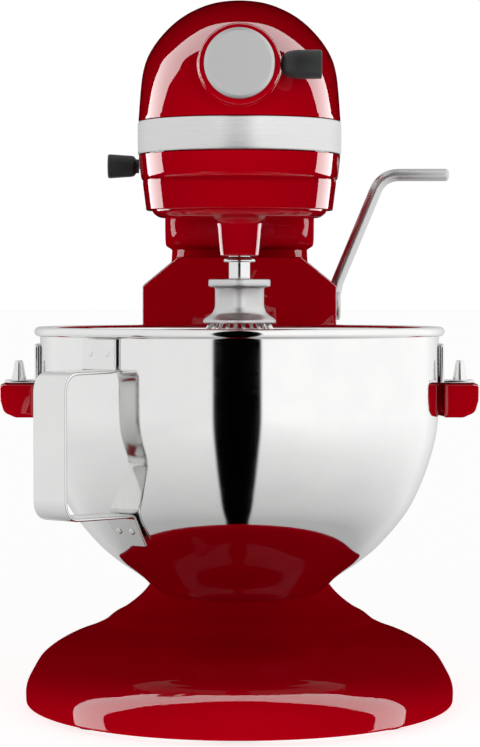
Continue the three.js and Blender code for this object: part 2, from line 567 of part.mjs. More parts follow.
// ---- speed control ----
const SPEED_KNOB_IN = 60.6;
const SPEED_KNOB_OUT = 79.4;
const linkBar = box([-49, SPEED_Y - 4, SPEED_Z - 1.5], [-46, 120, SPEED_Z + 1.5]);
const linkProng = box([-72, SPEED_Y - 2.5, SPEED_Z - 1.5], [-46, SPEED_Y + 2.5, SPEED_Z + 1.5]);
piece("speed_link", add(linkBar, linkProng), brushed);
const speedKnobProfile = [[0, -SPEED_KNOB_OUT], [6.2, -SPEED_KNOB_OUT], [7.2, -78], [6.6, -68],
  [6, -63.4], [4, -SPEED_KNOB_IN], [0, -SPEED_KNOB_IN]];
piece("speed_knob", cut(turnedX(speedKnobProfile, 20, SPEED_Y, SPEED_Z),
  box([-72.4, SPEED_Y - 2.9, SPEED_Z - 1.9], [-50, SPEED_Y + 2.9, SPEED_Z + 1.9])), black);

// ---- stand ----
// height, half width, front end, rear end and the Y where the front end starts to round in
const STAND_LEVELS = [
  [2.5, 127, -188.2, 157.4, -27],
  [4.5, 128.6, -189.8, 159, -27],
  [11, 128.6, -189.8, 159, -27],
  [16.5, 127, -189.4, 157.6, -26],
  [21.5, 123.8, -188.4, 155.8, -22],
  [25.4, 118.8, -186.6, 154.6, -14],
  [27.6, 114.8, -184.4, 154.6, -7],
  [29.1, 111.6, -181.8, 155, 0],
  [30.4, 108.2, -177.6, 155.3, 14],
  [31.6, 104.2, -170, 155.6, 30],
  [32.6, 100, -155, 155.8, 45],
  [33.8, 95.6, -120, 156, 58],
  [35.2, 91.6, -64, 156, 66],
  [36.4, 88.6, -26, 156, 71],
  [37.8, 86, -4, 156, 74],
  [41.2, 81.2, 16, 155.7, 76],
  [44.6, 73.8, 38, 155.4, 79],
  [51.1, 64.6, 59, 154.8, 88],
  [57.5, 58.8, 70, 154.3, 97],
  [64, 56, 78, 153.8, 103],
  [74, 54.4, 84, 153.3, 108],
  [95, 52.6, 88, 152.5, 112],
  [140, 50.5, COLUMN_FRONT, 151, 113],
  [220, 47, COLUMN_FRONT, 150, 111],
  [276.6, 44, COLUMN_FRONT, 149.5, 110],
  [278.4, 47, 62, 149.5, 83],
  [283, 47.5, 54, 150, 75],
  [COLUMN_TOP, 47.5, 50, 150, 71],
];
const BASE_ENDS = { frontDepth: 1.27, rearDepth: 1.1, frontPower: 2.05, rearPower: 2.7, steps: 8 };
const COLUMN_ENDS = { frontDepth: 0.45, rearDepth: 0.62, frontPower: 2.6, rearPower: 2.7, steps: 4 };
// The plan changes from the base's oval to the column's between these two heights.
const PLAN_LOW = 30;
const PLAN_HIGH = 64;
function standOutline([z, w, front, rear, shoulder]) {
  const share = THREE.MathUtils.clamp((z - PLAN_LOW) / (PLAN_HIGH - PLAN_LOW), 0, 1);
  const between = (key) => THREE.MathUtils.lerp(BASE_ENDS[key], COLUMN_ENDS[key], share);
  const rearDepth = between("rearDepth");
  const frontPower = between("frontPower");
  const frontDepth = (shoulder - front) / w;
  return oval(w, front, rear, z, { ...BASE_ENDS, frontDepth, rearDepth, frontPower, steps: 12 });
}
const standOuter = (levels, ends, inset = 0) => loft(levels.map(([z, w, front, rear]) =>
  oval(w - inset, front + inset, rear - inset, z, ends)));
const STAND_WALL = 4.5;
const baseHollow = [[1, 128.2, -188.6, 158], [17, 126.4, -186.6, 157], [21, 120, -180, 153],
  [25, 112, -170, 148]];
const columnHollow = [[20, 98, 10, 150], [30, 92, 28, 151], [40, 76, 56, 151], [50, 62, 78, 151],
  [64, 54.5, 88, 150.5], [95, 52, COLUMN_FRONT, 150], [220, 46.5, COLUMN_FRONT, 149],
  [290, 44, COLUMN_FRONT, 148]];
const hollow = add(standOuter(baseHollow, BASE_ENDS, STAND_WALL),
  standOuter(columnHollow, COLUMN_ENDS, STAND_WALL));
const GLAND_Z = 92;
const standHoles = add(box([-9, COLUMN_FRONT - 20, 120], [9, COLUMN_FRONT + 10, 236]),
  acrossRod(6.4, -80, 80, LIFT_AXIS_Y, LIFT_AXIS_Z), bore(14, 0, 120, 280, 300),
  turnedY(rodProfile(7.3, 130, 170), 16, 0, GLAND_Z));
piece("pedestal", cut(loft(STAND_LEVELS.map(standOutline)), hollow, standHoles), paint);
const plateLevels = [[4, 123, -183.2, 152.5], [6, 123, -183.2, 152.5]];
piece("base_plate", standOuter(plateLevels, BASE_ENDS, 0.5), brushed);
const FEET = {
  front_left: [-80, -124], front_right: [80, -124], rear_left: [-84, 104], rear_right: [84, 104],
};
for (const [where, [x, y]] of Object.entries(FEET))
  piece("foot_" + where, turned([[0, 0], [11.4, 0], [13, 1.4], [12.4, 3.7], [0, 3.7]], 16, x, y), rubber);
piece("cord_gland", turnedY([[3.6, 146], [7, 146], [7, 153.4], [9, 153.5], [8.2, 157], [3.6, 157.6],
  [3.6, 146]], 16, 0, GLAND_Z), rubber);
for (const [side, sign] of [["left", -1], ["right", 1]])
  piece("lift_rail_" + side, box([sign * RAIL_X - 5, CARRIAGE_BACK - 8, 118],
    [sign * RAIL_X + 5, COLUMN_FRONT - 0.4, 264]), steel);

// ---- bowl lift ----
const CARRIAGE_TOP = 271.2;
const CARRIAGE_HALF = 61.9;
const plateRight = [[55, 152], [CARRIAGE_HALF, 160], [CARRIAGE_HALF, 252.6], [39.5, CARRIAGE_TOP]];
const platePoints = [...plateRight, ...plateRight.map(([x, z]) => [-x, z]).reverse()];
const carriagePlate = slab(platePoints, CARRIAGE_FRONT, CARRIAGE_BACK, "y");
const armProfile = [[ARM_INNER, ARM_LOW], [ARM_OUTER - 10, ARM_LOW], [ARM_OUTER - 5.8, ARM_LOW + 1.3],
  [ARM_OUTER - 2.8, ARM_LOW + 3.8], [ARM_OUTER - 0.6, ARM_LOW + 8.4], [ARM_OUTER, ARM_LOW + 12],
  [ARM_OUTER, ARM_TOP - 2], [ARM_OUTER - 2, ARM_TOP], [ARM_INNER, ARM_TOP], [ARM_INNER, ARM_LOW]];
const armRing = turned(armProfile, 52, 0, BOWL_Y)
  .intersect(box([-150, BOWL_Y - 8, 160], [150, CARRIAGE_BACK - 4, 200]));
const grooves = [-1, 1].map((sign) => box([sign * RAIL_X - 5.5, CARRIAGE_BACK - 8.6, 100],
  [sign * RAIL_X + 5.5, CARRIAGE_BACK + 1, 300]));
const latchPocket = box([-17, CARRIAGE_FRONT - 1, 190], [17, CARRIAGE_FRONT + 5, 226]);
const liftTongue = box([-7, CARRIAGE_BACK - 2, 160], [7, LIFT_AXIS_Y + 6, 176]);
piece("lift_carriage", cut(add(carriagePlate, armRing, liftTongue), ...grooves, latchPocket), paint);
for (const [side, sign] of [["left", -1], ["right", 1]])
  piece("bowl_pin_" + side, turned([[0, ARM_TOP + GAP], [4.2, ARM_TOP + GAP], [4.2, 199], [2.2, 206.6],
    [1.4, 208.2], [0, 208.2]], 12, sign * PIN_X, BOWL_Y), steel);
const latchPlate = box([-14, CARRIAGE_FRONT + 1, 192], [14, CARRIAGE_FRONT + 2.6, 224]);
const latchMouth = box([-3.6, CARRIAGE_FRONT, 201], [3.6, CARRIAGE_FRONT + 4, 230]);
piece("bowl_latch", cut(latchPlate, latchMouth), steel);

const crankShaft = acrossRod(6, -52, 54, LIFT_AXIS_Y, LIFT_AXIS_Z, 20);
// the arm's outline about the crank's axis
const armOutline = [[-5, -4], [0, -7], [30, -5], [33, 0], [30, 5], [0, 7], [-5, 4]];
const crankArm = slab(armOutline.map(([y, z]) => [LIFT_AXIS_Y + y, LIFT_AXIS_Z + z]), 10, 16, "x");
piece("lift_crank", add(crankShaft, crankArm), steel);

const LEVER_R = 4;
const GRIP_Z = 324.7;
const leverPoints = [[61, LIFT_AXIS_Z], [63, LIFT_AXIS_Z + 14], [72, 272], [82.5, 298], [88.5, 313],
  [93.4, 321.6], [101.5, GRIP_Z], [118, GRIP_Z], [133.4, GRIP_Z]];
const leverPath = new THREE.CatmullRomCurve3(
  leverPoints.map(([x, z]) => new THREE.Vector3(x, LIFT_AXIS_Y, z)));
const LEVER_SIDES = 8;
const leverShape = new THREE.Shape();
for (let i = 0; i < LEVER_SIDES; i++) {
  const t = (2 * Math.PI * i) / LEVER_SIDES;
  const corner = [LEVER_R * Math.cos(t), LEVER_R * Math.sin(t)];
  if (i) leverShape.lineTo(...corner);
  else leverShape.moveTo(...corner);
}
leverShape.closePath();
const leverRod = solid(new THREE.ExtrudeGeometry(leverShape,
  { steps: 18, extrudePath: leverPath, bevelEnabled: false }));
const leverHub = acrossRod(9.5, 54.4, 66, LIFT_AXIS_Y, LIFT_AXIS_Z, 16);
const leverTip = turnedX([[0, 132.5], [3.9, 132.5], [3.4, 134.6], [2, 135.8], [0, 136]],
  12, LIFT_AXIS_Y, GRIP_Z);
piece("lift_lever", add(leverRod, leverHub, leverTip), steel);

// ---- bowl ----
const bowlOutside = [[0, 68], [40, 68], [50, 72.5], [57.9, 80], [73.3, 90.7], [85.2, 101.4], [99.4, 119],
  [108.3, 137], [114.3, 154.8], [BOWL_R, 176], [BOWL_R, RIM_Z - 2.4]];
const rimBead = [[BOWL_R + 2.4, RIM_Z - 2.2], [BOWL_R + 3.4, RIM_Z], [BOWL_R + 2.2, RIM_Z + 2.2],
  [BOWL_R - 0.2, RIM_Z + RIM_BEAD], [BOWL_R - BOWL_WALL, RIM_Z + 1]];
const bowlInside = bowlOutside.slice(1, -1).reverse()
  .map(([r, z]) => [r - BOWL_WALL, z + (z < 120 ? BOWL_WALL * 0.8 : 0)]);
const bowlProfile = [...bowlOutside, ...rimBead, ...bowlInside, [0, 68 + BOWL_WALL * 0.8]];
piece("bowl_shell", turned(bowlProfile, 32, 0, BOWL_Y), steel);

const tabHole = (sign) => bore(4.8, sign * PIN_X, BOWL_Y, 190, 200);
for (const [side, sign] of [["left", -1], ["right", 1]]) {
  const wide = (from, to, half, low, high) => box(
    [Math.min(sign * from, sign * to), BOWL_Y - half, low],
    [Math.max(sign * from, sign * to), BOWL_Y + half, high]);
  piece("bowl_bracket_" + side, cut(add(wide(118.4, 120.6, 14, 195, 218), wide(118.4, 139, 11, 195, 196.5)),
    tabHole(sign)), steel);
}
const rearPlate = box([-12, BOWL_Y + BOWL_R + 0.4, 197], [12, BOWL_Y + BOWL_R + 2.2, 217]);
const latchStub = turnedY(rodProfile(3, BOWL_Y + BOWL_R + 1, 71.6), 14, 0, 206);
piece("bowl_bracket_rear", add(rearPlate, latchStub), steel);

// Strip of even thickness along a path, both given in two axes.
function strip(path, thickness) {
  const shift = (i) => {
    const before = path[Math.max(i - 1, 0)];
    const after = path[Math.min(i + 1, path.length - 1)];
    const [du, dv] = [after[0] - before[0], after[1] - before[1]];
    const length = Math.hypot(du, dv);
    return [(-dv / length) * (thickness / 2), (du / length) * (thickness / 2)];
  };
  const sideOf = (sign) => path.map(([u, v], i) => {
    const [su, sv] = shift(i);
    return [u + sign * su, v + sign * sv];
  });
  return [...sideOf(1), ...sideOf(-1).reverse()];
}
const HANDLE_ANGLE = 49 * DEG; // from the left side towards the front
const HANDLE_WIDTH = 25;
const handlePath = [[119.6, 222], [119.6, 208], [120.4, 205.4], [123, 204], [148, 203], [154.6, 200.6],
  [158, 195], [159, 186], [159, 140], [157.6, 131.4], [153, 125.4], [146, 123], [106, 122.2],
  [103.6, 120.6], [102.2, 118.2], [91.4, 104.6]];
piece("bowl_handle", slab(strip(handlePath, 2), -HANDLE_WIDTH / 2, HANDLE_WIDTH / 2, "y",
  HALF_TURN + HANDLE_ANGLE, BOWL_Y), steel);

export default group;
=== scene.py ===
"""Stand mixer: the visible surfaces, materials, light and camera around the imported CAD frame."""
import json
import math

import bmesh
import bpy
from mathutils import Matrix, Vector


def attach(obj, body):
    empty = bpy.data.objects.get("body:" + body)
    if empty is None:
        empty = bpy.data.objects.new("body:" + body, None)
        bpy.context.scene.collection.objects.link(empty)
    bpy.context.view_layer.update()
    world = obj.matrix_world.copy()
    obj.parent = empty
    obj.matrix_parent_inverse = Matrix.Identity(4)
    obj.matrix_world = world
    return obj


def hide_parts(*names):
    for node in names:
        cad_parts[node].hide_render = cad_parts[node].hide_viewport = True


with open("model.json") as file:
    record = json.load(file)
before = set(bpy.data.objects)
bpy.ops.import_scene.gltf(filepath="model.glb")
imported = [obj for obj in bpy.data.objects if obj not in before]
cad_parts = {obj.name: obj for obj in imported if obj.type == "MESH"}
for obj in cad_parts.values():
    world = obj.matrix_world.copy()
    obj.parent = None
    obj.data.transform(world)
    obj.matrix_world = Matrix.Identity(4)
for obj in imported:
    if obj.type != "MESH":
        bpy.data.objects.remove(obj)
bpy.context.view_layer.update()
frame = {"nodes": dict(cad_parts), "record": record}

MM = 0.001
BOWL_Y = -56.0
BEATER_Y = -82.0
HUB_Z = 376.7
MOTOR_Z = 366.0
LIFT_Y = 104.0
LIFT_Z = 240.0
REAR_SEAM_Y = 140.0
HUB_BORE_R = 17.6
KNOB_Y = -136.0
BRUSH_Y = 118.0
PIN_X = 130.9
LEVER_TOP_Z = 324.7
GLAND_Z = 92.0
COVER_SCREW_Z = MOTOR_Z + 20
SHARP = 38.0  # edges past this angle, in degrees, stay crisp

# ---------------------------------------------------------------- camera
CAMERA_X = 0.0003
CAMERA_DISTANCE = 1.65  # from the bowl's axis
CAMERA_HEIGHT = 0.2479
CAMERA_TILT = math.radians(1.654)
LENS_MM = 134.0
SENSOR_MM = 36.0
camera_data = bpy.data.cameras.new("camera")
camera_data.lens = LENS_MM
camera_data.sensor_width = SENSOR_MM
camera = bpy.data.objects.new("camera", camera_data)
camera.location = (CAMERA_X, BOWL_Y * MM - CAMERA_DISTANCE, CAMERA_HEIGHT)
camera.rotation_euler = (math.pi / 2 - CAMERA_TILT, 0, 0)
bpy.context.collection.objects.link(camera)
bpy.context.scene.camera = camera


# ---------------------------------------------------------------- materials
class Shader:
    """A principled material and short calls for the nodes that feed it."""

    def __init__(self, name, **sockets):
        self.material = bpy.data.materials.new(name)
        self.material.use_nodes = True
        self.tree = self.material.node_tree
        self.bsdf = self.tree.nodes["Principled BSDF"]
        for key, value in sockets.items():
            self.bsdf.inputs[key.replace("_", " ")].default_value = value
        self.coords = self.tree.nodes.new("ShaderNodeTexCoord").outputs["Object"]

    def node(self, kind, settings=None, **inputs):
        made = self.tree.nodes.new(kind)
        for key, value in (settings or {}).items():
            setattr(made, key, value)
        for key, value in inputs.items():
            numbered = key[0] == "i" and key[1:].isdigit()  # i0, i1: sockets by number
            socket = made.inputs[int(key[1:]) if numbered else key]
            if isinstance(value, bpy.types.NodeSocket):
                self.tree.links.new(value, socket)
            else:
                socket.default_value = value
        return made

    def math(self, operation, a, b=0.0, c=0.0):
        return self.node("ShaderNodeMath", {"operation": operation}, i0=a, i1=b, i2=c).outputs[0]

    def stretched(self, scale):
        return self.node("ShaderNodeMapping", i0=self.coords, Scale=scale).outputs[0]

    def noise(self, vector, scale=1.0, detail=3.0, roughness=0.55):
        made = self.node("ShaderNodeTexNoise", Vector=vector, Scale=scale, Detail=detail,
                         Roughness=roughness)
        return made.outputs["Fac"]

    def ramp(self, value, low, high, dark, light):
        made = self.node("ShaderNodeMapRange", i0=value, i1=low, i2=high, i3=dark, i4=light)
        return made.outputs[0]

    def colour(self, value, first, second):
        made = self.node("ShaderNodeMix", {"data_type": "RGBA"}, i0=value)
        made.inputs[6].default_value = (*first, 1)
        made.inputs[7].default_value = (*second, 1)
        self.tree.links.new(made.outputs[2], self.bsdf.inputs["Base Color"])

    def rough(self, value, low, high):
        self.tree.links.new(self.ramp(value, 0.3, 0.7, low, high), self.bsdf.inputs["Roughness"])

    def bump(self, height, strength, distance_mm, target="Normal"):
        made = self.node("ShaderNodeBump", Height=height, Strength=strength,
                         Distance=distance_mm * MM)
        self.tree.links.new(made.outputs[0], self.bsdf.inputs[target])

    def radius(self, across, along):
        """Distance from an axis: across and along are the coordinates square to it, with their
        centres."""
        split = self.node("ShaderNodeSeparateXYZ", Vector=self.coords)
        parts = []
        for axis, centre in (across, along):
            off = self.math("SUBTRACT", split.outputs[axis], centre * MM)
            parts.append(self.math("MULTIPLY", off, off))
        return self.math("SQRT", self.math("ADD", *parts))


def paint(name, coat):
    """Deep gloss enamel: faint pigment variation under a clear coat with slight peel."""
    s = Shader(name, Metallic=0.0, Specular_IOR_Level=0.0, Coat_Weight=coat, Coat_Roughness=0.02,
               Coat_IOR=1.6)
    broad = s.noise(s.coords, 9.0, 2.0)
    flake = s.noise(s.coords, 3000.0, 2.0)
    s.colour(s.math("MULTIPLY_ADD", flake, 0.35, s.math("MULTIPLY", broad, 0.65)),
             (0.40, 0.0, 0.0052), (0.48, 0.0, 0.0078))
    s.rough(broad, 0.45, 0.6)
    s.bump(s.noise(s.coords, 150.0, 1.0), 0.02, 0.2, "Coat Normal")
    return s.material


def polished(name, low, high, tint, lay, grain):
    """Polished steel: fine lines, level with the floor and set by lay, and slight cloudiness."""
    s = Shader(name, Metallic=1.0, Anisotropic=0.25)
    lines = s.noise(s.stretched(lay), 1.0, 4.0)
    cloud = s.noise(s.coords, 40.0, 3.0)
    s.colour(cloud, (tint - 0.05,) * 3, (tint + 0.03, tint + 0.03, tint + 0.02))
    s.rough(s.math("MULTIPLY_ADD", lines, 0.6, s.math("MULTIPLY", cloud, 0.4)), low, high)
    s.bump(lines, grain, 0.03)
    return s.material


def brushed_band():
    s = Shader("brushed_metal", Metallic=1.0, Anisotropic=0.5)
    lines = s.noise(s.stretched((35, 35, 5200)), 1.0, 5.0, 0.7)
    wide = s.noise(s.stretched((9, 9, 900)), 1.0, 3.0)
    s.colour(s.math("MULTIPLY_ADD", lines, 0.6, s.math("MULTIPLY", wide, 0.4)),
             (0.60, 0.60, 0.605), (0.80, 0.80, 0.795))
    s.rough(lines, 0.24, 0.40)
    s.bump(lines, 0.22, 0.05)
    return s.material


def satin_cast(name, dark, light, low, high, grain=1600.0):
    s = Shader(name, Metallic=1.0)
    fine = s.noise(s.coords, grain, 4.0, 0.6)
    broad = s.noise(s.coords, 60.0, 3.0)
    s.colour(s.math("MULTIPLY_ADD", fine, 0.5, s.math("MULTIPLY", broad, 0.5)), dark, light)
    s.rough(broad, low, high)
    s.bump(fine, 0.16, 0.05)
    return s.material


def turned_face():
    """Hub cap: satin metal with fine rings round its centre."""
    s = Shader("hub_cap_metal", Metallic=1.0, Anisotropic=0.35)
    r = s.radius((0, 0.0), (2, HUB_Z))
    wobble = s.math("MULTIPLY_ADD", s.noise(s.coords, 90.0, 2.0), 0.00012, r)
    axis = s.node("ShaderNodeCombineXYZ", i0=s.math("MULTIPLY", wobble, 4200.0)).outputs[0]
    rings = s.noise(axis, 1.0, 3.0)
    fine = s.noise(s.coords, 1900.0, 3.0)
    s.colour(s.math("MULTIPLY_ADD", rings, 0.5, s.math("MULTIPLY", fine, 0.5)),
             (0.50, 0.50, 0.50), (0.62, 0.62, 0.615))
    s.rough(fine, 0.34, 0.46)
    s.bump(s.math("ADD", rings, fine), 0.08, 0.04)
    return s.material


def moulded(name, dark, light, low, high, grain=1500.0, depth=0.06):
    s = Shader(name, Metallic=0.0, IOR=1.48)
    fine = s.noise(s.coords, grain, 3.0)
    broad = s.noise(s.coords, 70.0, 3.0)
    s.colour(broad, dark, light)
    s.rough(s.math("MULTIPLY_ADD", fine, 0.5, s.math("MULTIPLY", broad, 0.5)), low, high)
    s.bump(fine, 0.25, depth)
    return s.material


PAINT = paint("red_paint", 1.0)
STAND_PAINT = paint("red_paint_stand", 0.15)
STEEL = polished("polished_steel", 0.10, 0.20, 0.80, (400, 400, 1400), 0.03)
BOWL_STEEL = polished("bowl_steel", 0.035, 0.085, 0.84, (3, 3, 1500), 0.02)
BAND = brushed_band()
CAP = turned_face()
LEVER = satin_cast("satin_steel", (0.56, 0.56, 0.565), (0.64, 0.64, 0.635), 0.26, 0.34, 900.0)
CAST = satin_cast("cast_aluminium", (0.52, 0.52, 0.525), (0.70, 0.70, 0.69), 0.24, 0.38)
ROUGH_CAST = satin_cast("rough_casting", (0.38, 0.38, 0.385), (0.52, 0.52, 0.515), 0.4, 0.6, 700.0)
GEAR = satin_cast("gear_steel", (0.36, 0.36, 0.37), (0.50, 0.50, 0.50), 0.28, 0.42)
BRONZE = satin_cast("bronze", (0.42, 0.25, 0.08), (0.62, 0.42, 0.17), 0.3, 0.45)
COPPER = satin_cast("copper_winding", (0.42, 0.16, 0.07), (0.62, 0.28, 0.13), 0.35, 0.5, 500.0)
BLACK = moulded("black_plastic", (0.016, 0.017, 0.0175), (0.027, 0.029, 0.029), 0.34, 0.5)
RUBBER = moulded("black_rubber", (0.012, 0.012, 0.012), (0.03, 0.03, 0.029), 0.7, 0.9, 900.0, 0.1)
NYLON = moulded("white_nylon", (0.66, 0.63, 0.54), (0.76, 0.74, 0.66), 0.45, 0.6)
BOARD = moulded("board", (0.02, 0.11, 0.04), (0.05, 0.19, 0.08), 0.3, 0.5)
SLOTS = {"red_paint": PAINT, "polished_steel": STEEL, "gear_steel": GEAR, "brushed_metal": BAND,
         "cast_aluminium": ROUGH_CAST, "bronze": BRONZE, "copper_winding": COPPER,
         "black_plastic": BLACK, "black_rubber": RUBBER, "white_nylon": NYLON, "board": BOARD}


# ---------------------------------------------------------------- mesh helpers (millimetres)
def make(name, points, faces, sharp=SHARP, recalc=True):
    mesh = bpy.data.meshes.new(name)
    mesh.from_pydata([Vector(p) * MM for p in points], [], faces)
    work = bmesh.new()
    work.from_mesh(mesh)
    bmesh.ops.remove_doubles(work, verts=work.verts, dist=1e-6)
    bmesh.ops.dissolve_degenerate(work, edges=work.edges, dist=1e-7)
    if recalc:
        bmesh.ops.recalc_face_normals(work, faces=work.faces)
    work.to_mesh(mesh)
    work.free()
    made = bpy.data.objects.new(name, mesh)
    bpy.context.collection.objects.link(made)
    return smooth(made, sharp)


def smooth(made, sharp=SHARP):
    made.data.shade_smooth()
    made.data.set_sharp_from_angle(angle=math.radians(sharp))
    return made


def bake(made, sharp=SHARP):
    """Applies the modifiers of made."""
    depsgraph = bpy.context.evaluated_depsgraph_get()
    mesh = bpy.data.meshes.new_from_object(made.evaluated_get(depsgraph))
    made.modifiers.clear()
    made.data = mesh
    return smooth(made, sharp)


def cut(made, *cutters):
    for cutter in cutters:
        boolean = made.modifiers.new("cut", "BOOLEAN")
        boolean.operation = "DIFFERENCE"
        boolean.solver = "EXACT"
        boolean.object = cutter
        bake(made)
        bpy.data.objects.remove(cutter)
    return made


def bevelled(made, width, segments):
    bevel = made.modifiers.new("bevel", "BEVEL")
    bevel.width = width * MM
    bevel.segments = segments
    bevel.limit_method = "ANGLE"
    bevel.angle_limit = math.radians(35)
    return bake(made, 50.0)


def thicken(made, thickness):
    """Gives an open skin its wall, growing inwards."""
    solid = made.modifiers.new("wall", "SOLIDIFY")
    solid.thickness = thickness * MM
    solid.offset = -1
    return bake(made)


def open_slot(made, low, high):
    """Cuts a rectangular window through an open skin."""
    margin = 8  # only faces this near the window are divided
    work = bmesh.new()
    work.from_mesh(made.data)
    for axis in (1, 2):
        for level in (low[axis], high[axis]):
            point, normal = Vector((0, 0, 0)), Vector((0, 0, 0))
            point[axis], normal[axis] = level * MM, 1
            near = [f for f in work.faces
                    if all(low[k] - margin < f.calc_center_median()[k] / MM < high[k] + margin
                           for k in range(3))]
            parts = dict.fromkeys([*near, *(e for f in near for e in f.edges),
                                   *(v for f in near for v in f.verts)])
            bmesh.ops.bisect_plane(work, geom=list(parts), dist=1e-7, plane_co=point,
                                   plane_no=normal)
    gone = [f for f in work.faces
            if all(low[k] < f.calc_center_median()[k] / MM < high[k] for k in range(3))]
    bmesh.ops.delete(work, geom=gone, context="FACES")
    work.to_mesh(made.data)
    work.free()
    return smooth(made)


def skin(name, rings, closed=True, caps=True, loop=False, sharp=SHARP):
    """Quads between rings of equal point counts."""
    count = len(rings[0])
    points = [p for ring in rings for p in ring]
    faces = []
    spans = len(rings) if loop else len(rings) - 1
    for level in range(spans):
        a, b = level * count, ((level + 1) % len(rings)) * count
        for i in range(count if closed else count - 1):
            j = (i + 1) % count
            faces.append((a + i, a + j, b + j, b + i))
    if caps and not loop:
        last = (len(rings) - 1) * count
        faces.append(tuple(range(count))[::-1])
        faces.append(tuple(range(last, last + count)))
    return make(name, points, faces, sharp, recalc=closed)


def fillet(points, radius, steps=5, closed=False):
    """Rounds the corners of a 2-D path. radius is one number or one for each point."""
    count = len(points)
    radii = radius if isinstance(radius, (list, tuple)) else [radius] * count
    rounded = []
    for i, point in enumerate(points):
        here = Vector(point)
        if radii[i] <= 0 or (not closed and i in (0, count - 1)):
            rounded.append(tuple(here))
            continue
        before = Vector(points[i - 1]) - here
        after = Vector(points[(i + 1) % count]) - here
        if before.length < 1e-6 or after.length < 1e-6:
            rounded.append(tuple(here))
            continue
        half = before.angle(after) / 2
        if half > math.pi / 2 - 0.02:
            rounded.append(tuple(here))
            continue
        reach = min(radii[i] / math.tan(half), 0.49 * before.length, 0.49 * after.length)
        start, end = here + before.normalized() * reach, here + after.normalized() * reach
        for k in range(steps + 1):
            t = k / steps
            rounded.append(tuple(start * (1 - t) ** 2 + here * 2 * t * (1 - t) + end * t * t))
    return rounded


def curve_through(rows, per=6):
    """Catmull-Rom through rows of numbers, per steps in each span."""
    out = []
    for i in range(len(rows) - 1):
        p0, p1, p2, p3 = (rows[max(i - 1, 0)], rows[i], rows[i + 1],
                          rows[min(i + 2, len(rows) - 1)])
        for k in range(per):
            t = k / per
            out.append(tuple(
                0.5 * (2 * b + (c - a) * t + (2 * a - 5 * b + 4 * c - d) * t * t
                       + (3 * b - a - 3 * c + d) * t ** 3) for a, b, c, d in zip(p0, p1, p2, p3)))
    return [*out, tuple(rows[-1])]


def lathe(name, profile, centre=(0.0, 0.0), axis="z", sides=72, loop=False, sharp=SHARP):
    """Turned piece. profile is (radius, place along the axis); centre is in the other two axes."""
    rings = []
    for r, h in profile:
        ring = []
        for k in range(sides):
            t = 2 * math.pi * k / sides
            u, v = centre[0] + r * math.cos(t), centre[1] + r * math.sin(t)
            ring.append({"z": (u, v, h), "y": (u, h, v), "x": (h, u, v)}[axis])
        rings.append(ring)
    return skin(name, rings, caps=False, loop=loop, sharp=sharp)


def tube_profile(inner, outer, low, high, radius=0.4):
    return fillet([(inner, low), (outer, low), (outer, high), (inner, high)], radius, 3, True)


def rod(name, r, low, high, centre, axis, sides=40):
    return lathe(name, [(0, low), (r, low), (r, high), (0, high)], centre, axis, sides)


def block(name, low, high):
    (x0, y0, z0), (x1, y1, z1) = low, high
    points = [(x, y, z) for z in (z0, z1) for x, y in ((x0, y0), (x1, y0), (x1, y1), (x0, y1))]
    faces = [(3, 2, 1, 0), (4, 5, 6, 7), (0, 1, 5, 4), (1, 2, 6, 5), (2, 3, 7, 6), (3, 0, 4, 7)]
    return make(name, points, faces)


def plate(name, outline, low, high, axis="y"):
    """Flat outline (two coordinates) with thickness along axis."""
    rings = []
    for depth in (low, high):
        rings.append([{"y": (u, depth, v), "z": (u, v, depth), "x": (depth, u, v)}[axis]
                      for u, v in outline])
    return skin(name, rings)


def sweep(name, path, section, side):
    """Section (across, out) carried along a path that stays square to side."""
    rings = []
    for i, point in enumerate(path):
        here = Vector(point)
        ahead = (Vector(path[min(i + 1, len(path) - 1)]) - Vector(path[max(i - 1, 0)])).normalized()
        out = ahead.cross(side).normalized()
        rings.append([here + side * u + out * v for u, v in section])
    return skin(name, rings)


def circle(r, sides=20):
    return [(r * math.cos(2 * math.pi * k / sides), r * math.sin(2 * math.pi * k / sides))
            for k in range(sides)]


def join(first, *others):
    """One object out of several."""
    work = bmesh.new()
    for made in (first, *others):
        work.from_mesh(made.data)
    work.to_mesh(first.data)
    work.free()
    for made in others:
        bpy.data.objects.remove(made)
    return smooth(first)


def dress(made, material, body, slot, *nodes):
    """Material, body, record slot (not used) and the CAD nodes the piece stands for."""
    made.data.materials.clear()
    made.data.materials.append(material)
    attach(made, body)
    if nodes:
        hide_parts(*nodes)
    return made


# ---------------------------------------------------------------- head
HEAD_POWER = 2.15  # squareness of the head's ends in plan
FRONT_REACH = 1.2  # depth of the rounded ends, in half widths
REAR_REACH = 0.85


def oval(level, front_depth=FRONT_REACH, rear_depth=REAR_REACH, front_power=HEAD_POWER,
         rear_power=HEAD_POWER, steps=60):
    """Plan outline of a level (height, half width, front, rear), anticlockwise, by the front and
    then the rear."""
    z, w, front, rear = level
    points = []

    def half(centre, depth, start, power):
        for i in range(steps + 1):
            t = start + math.pi * i / steps
            c, s = math.cos(t), math.sin(t)
            points.append((w * math.copysign(abs(c) ** (2 / power), c),
                           centre + depth * math.copysign(abs(s) ** (2 / power), s), z))

    half(front + front_depth * w, front_depth * w, math.pi, front_power)
    half(rear - rear_depth * w, rear_depth * w, 0.0, rear_power)
    return points


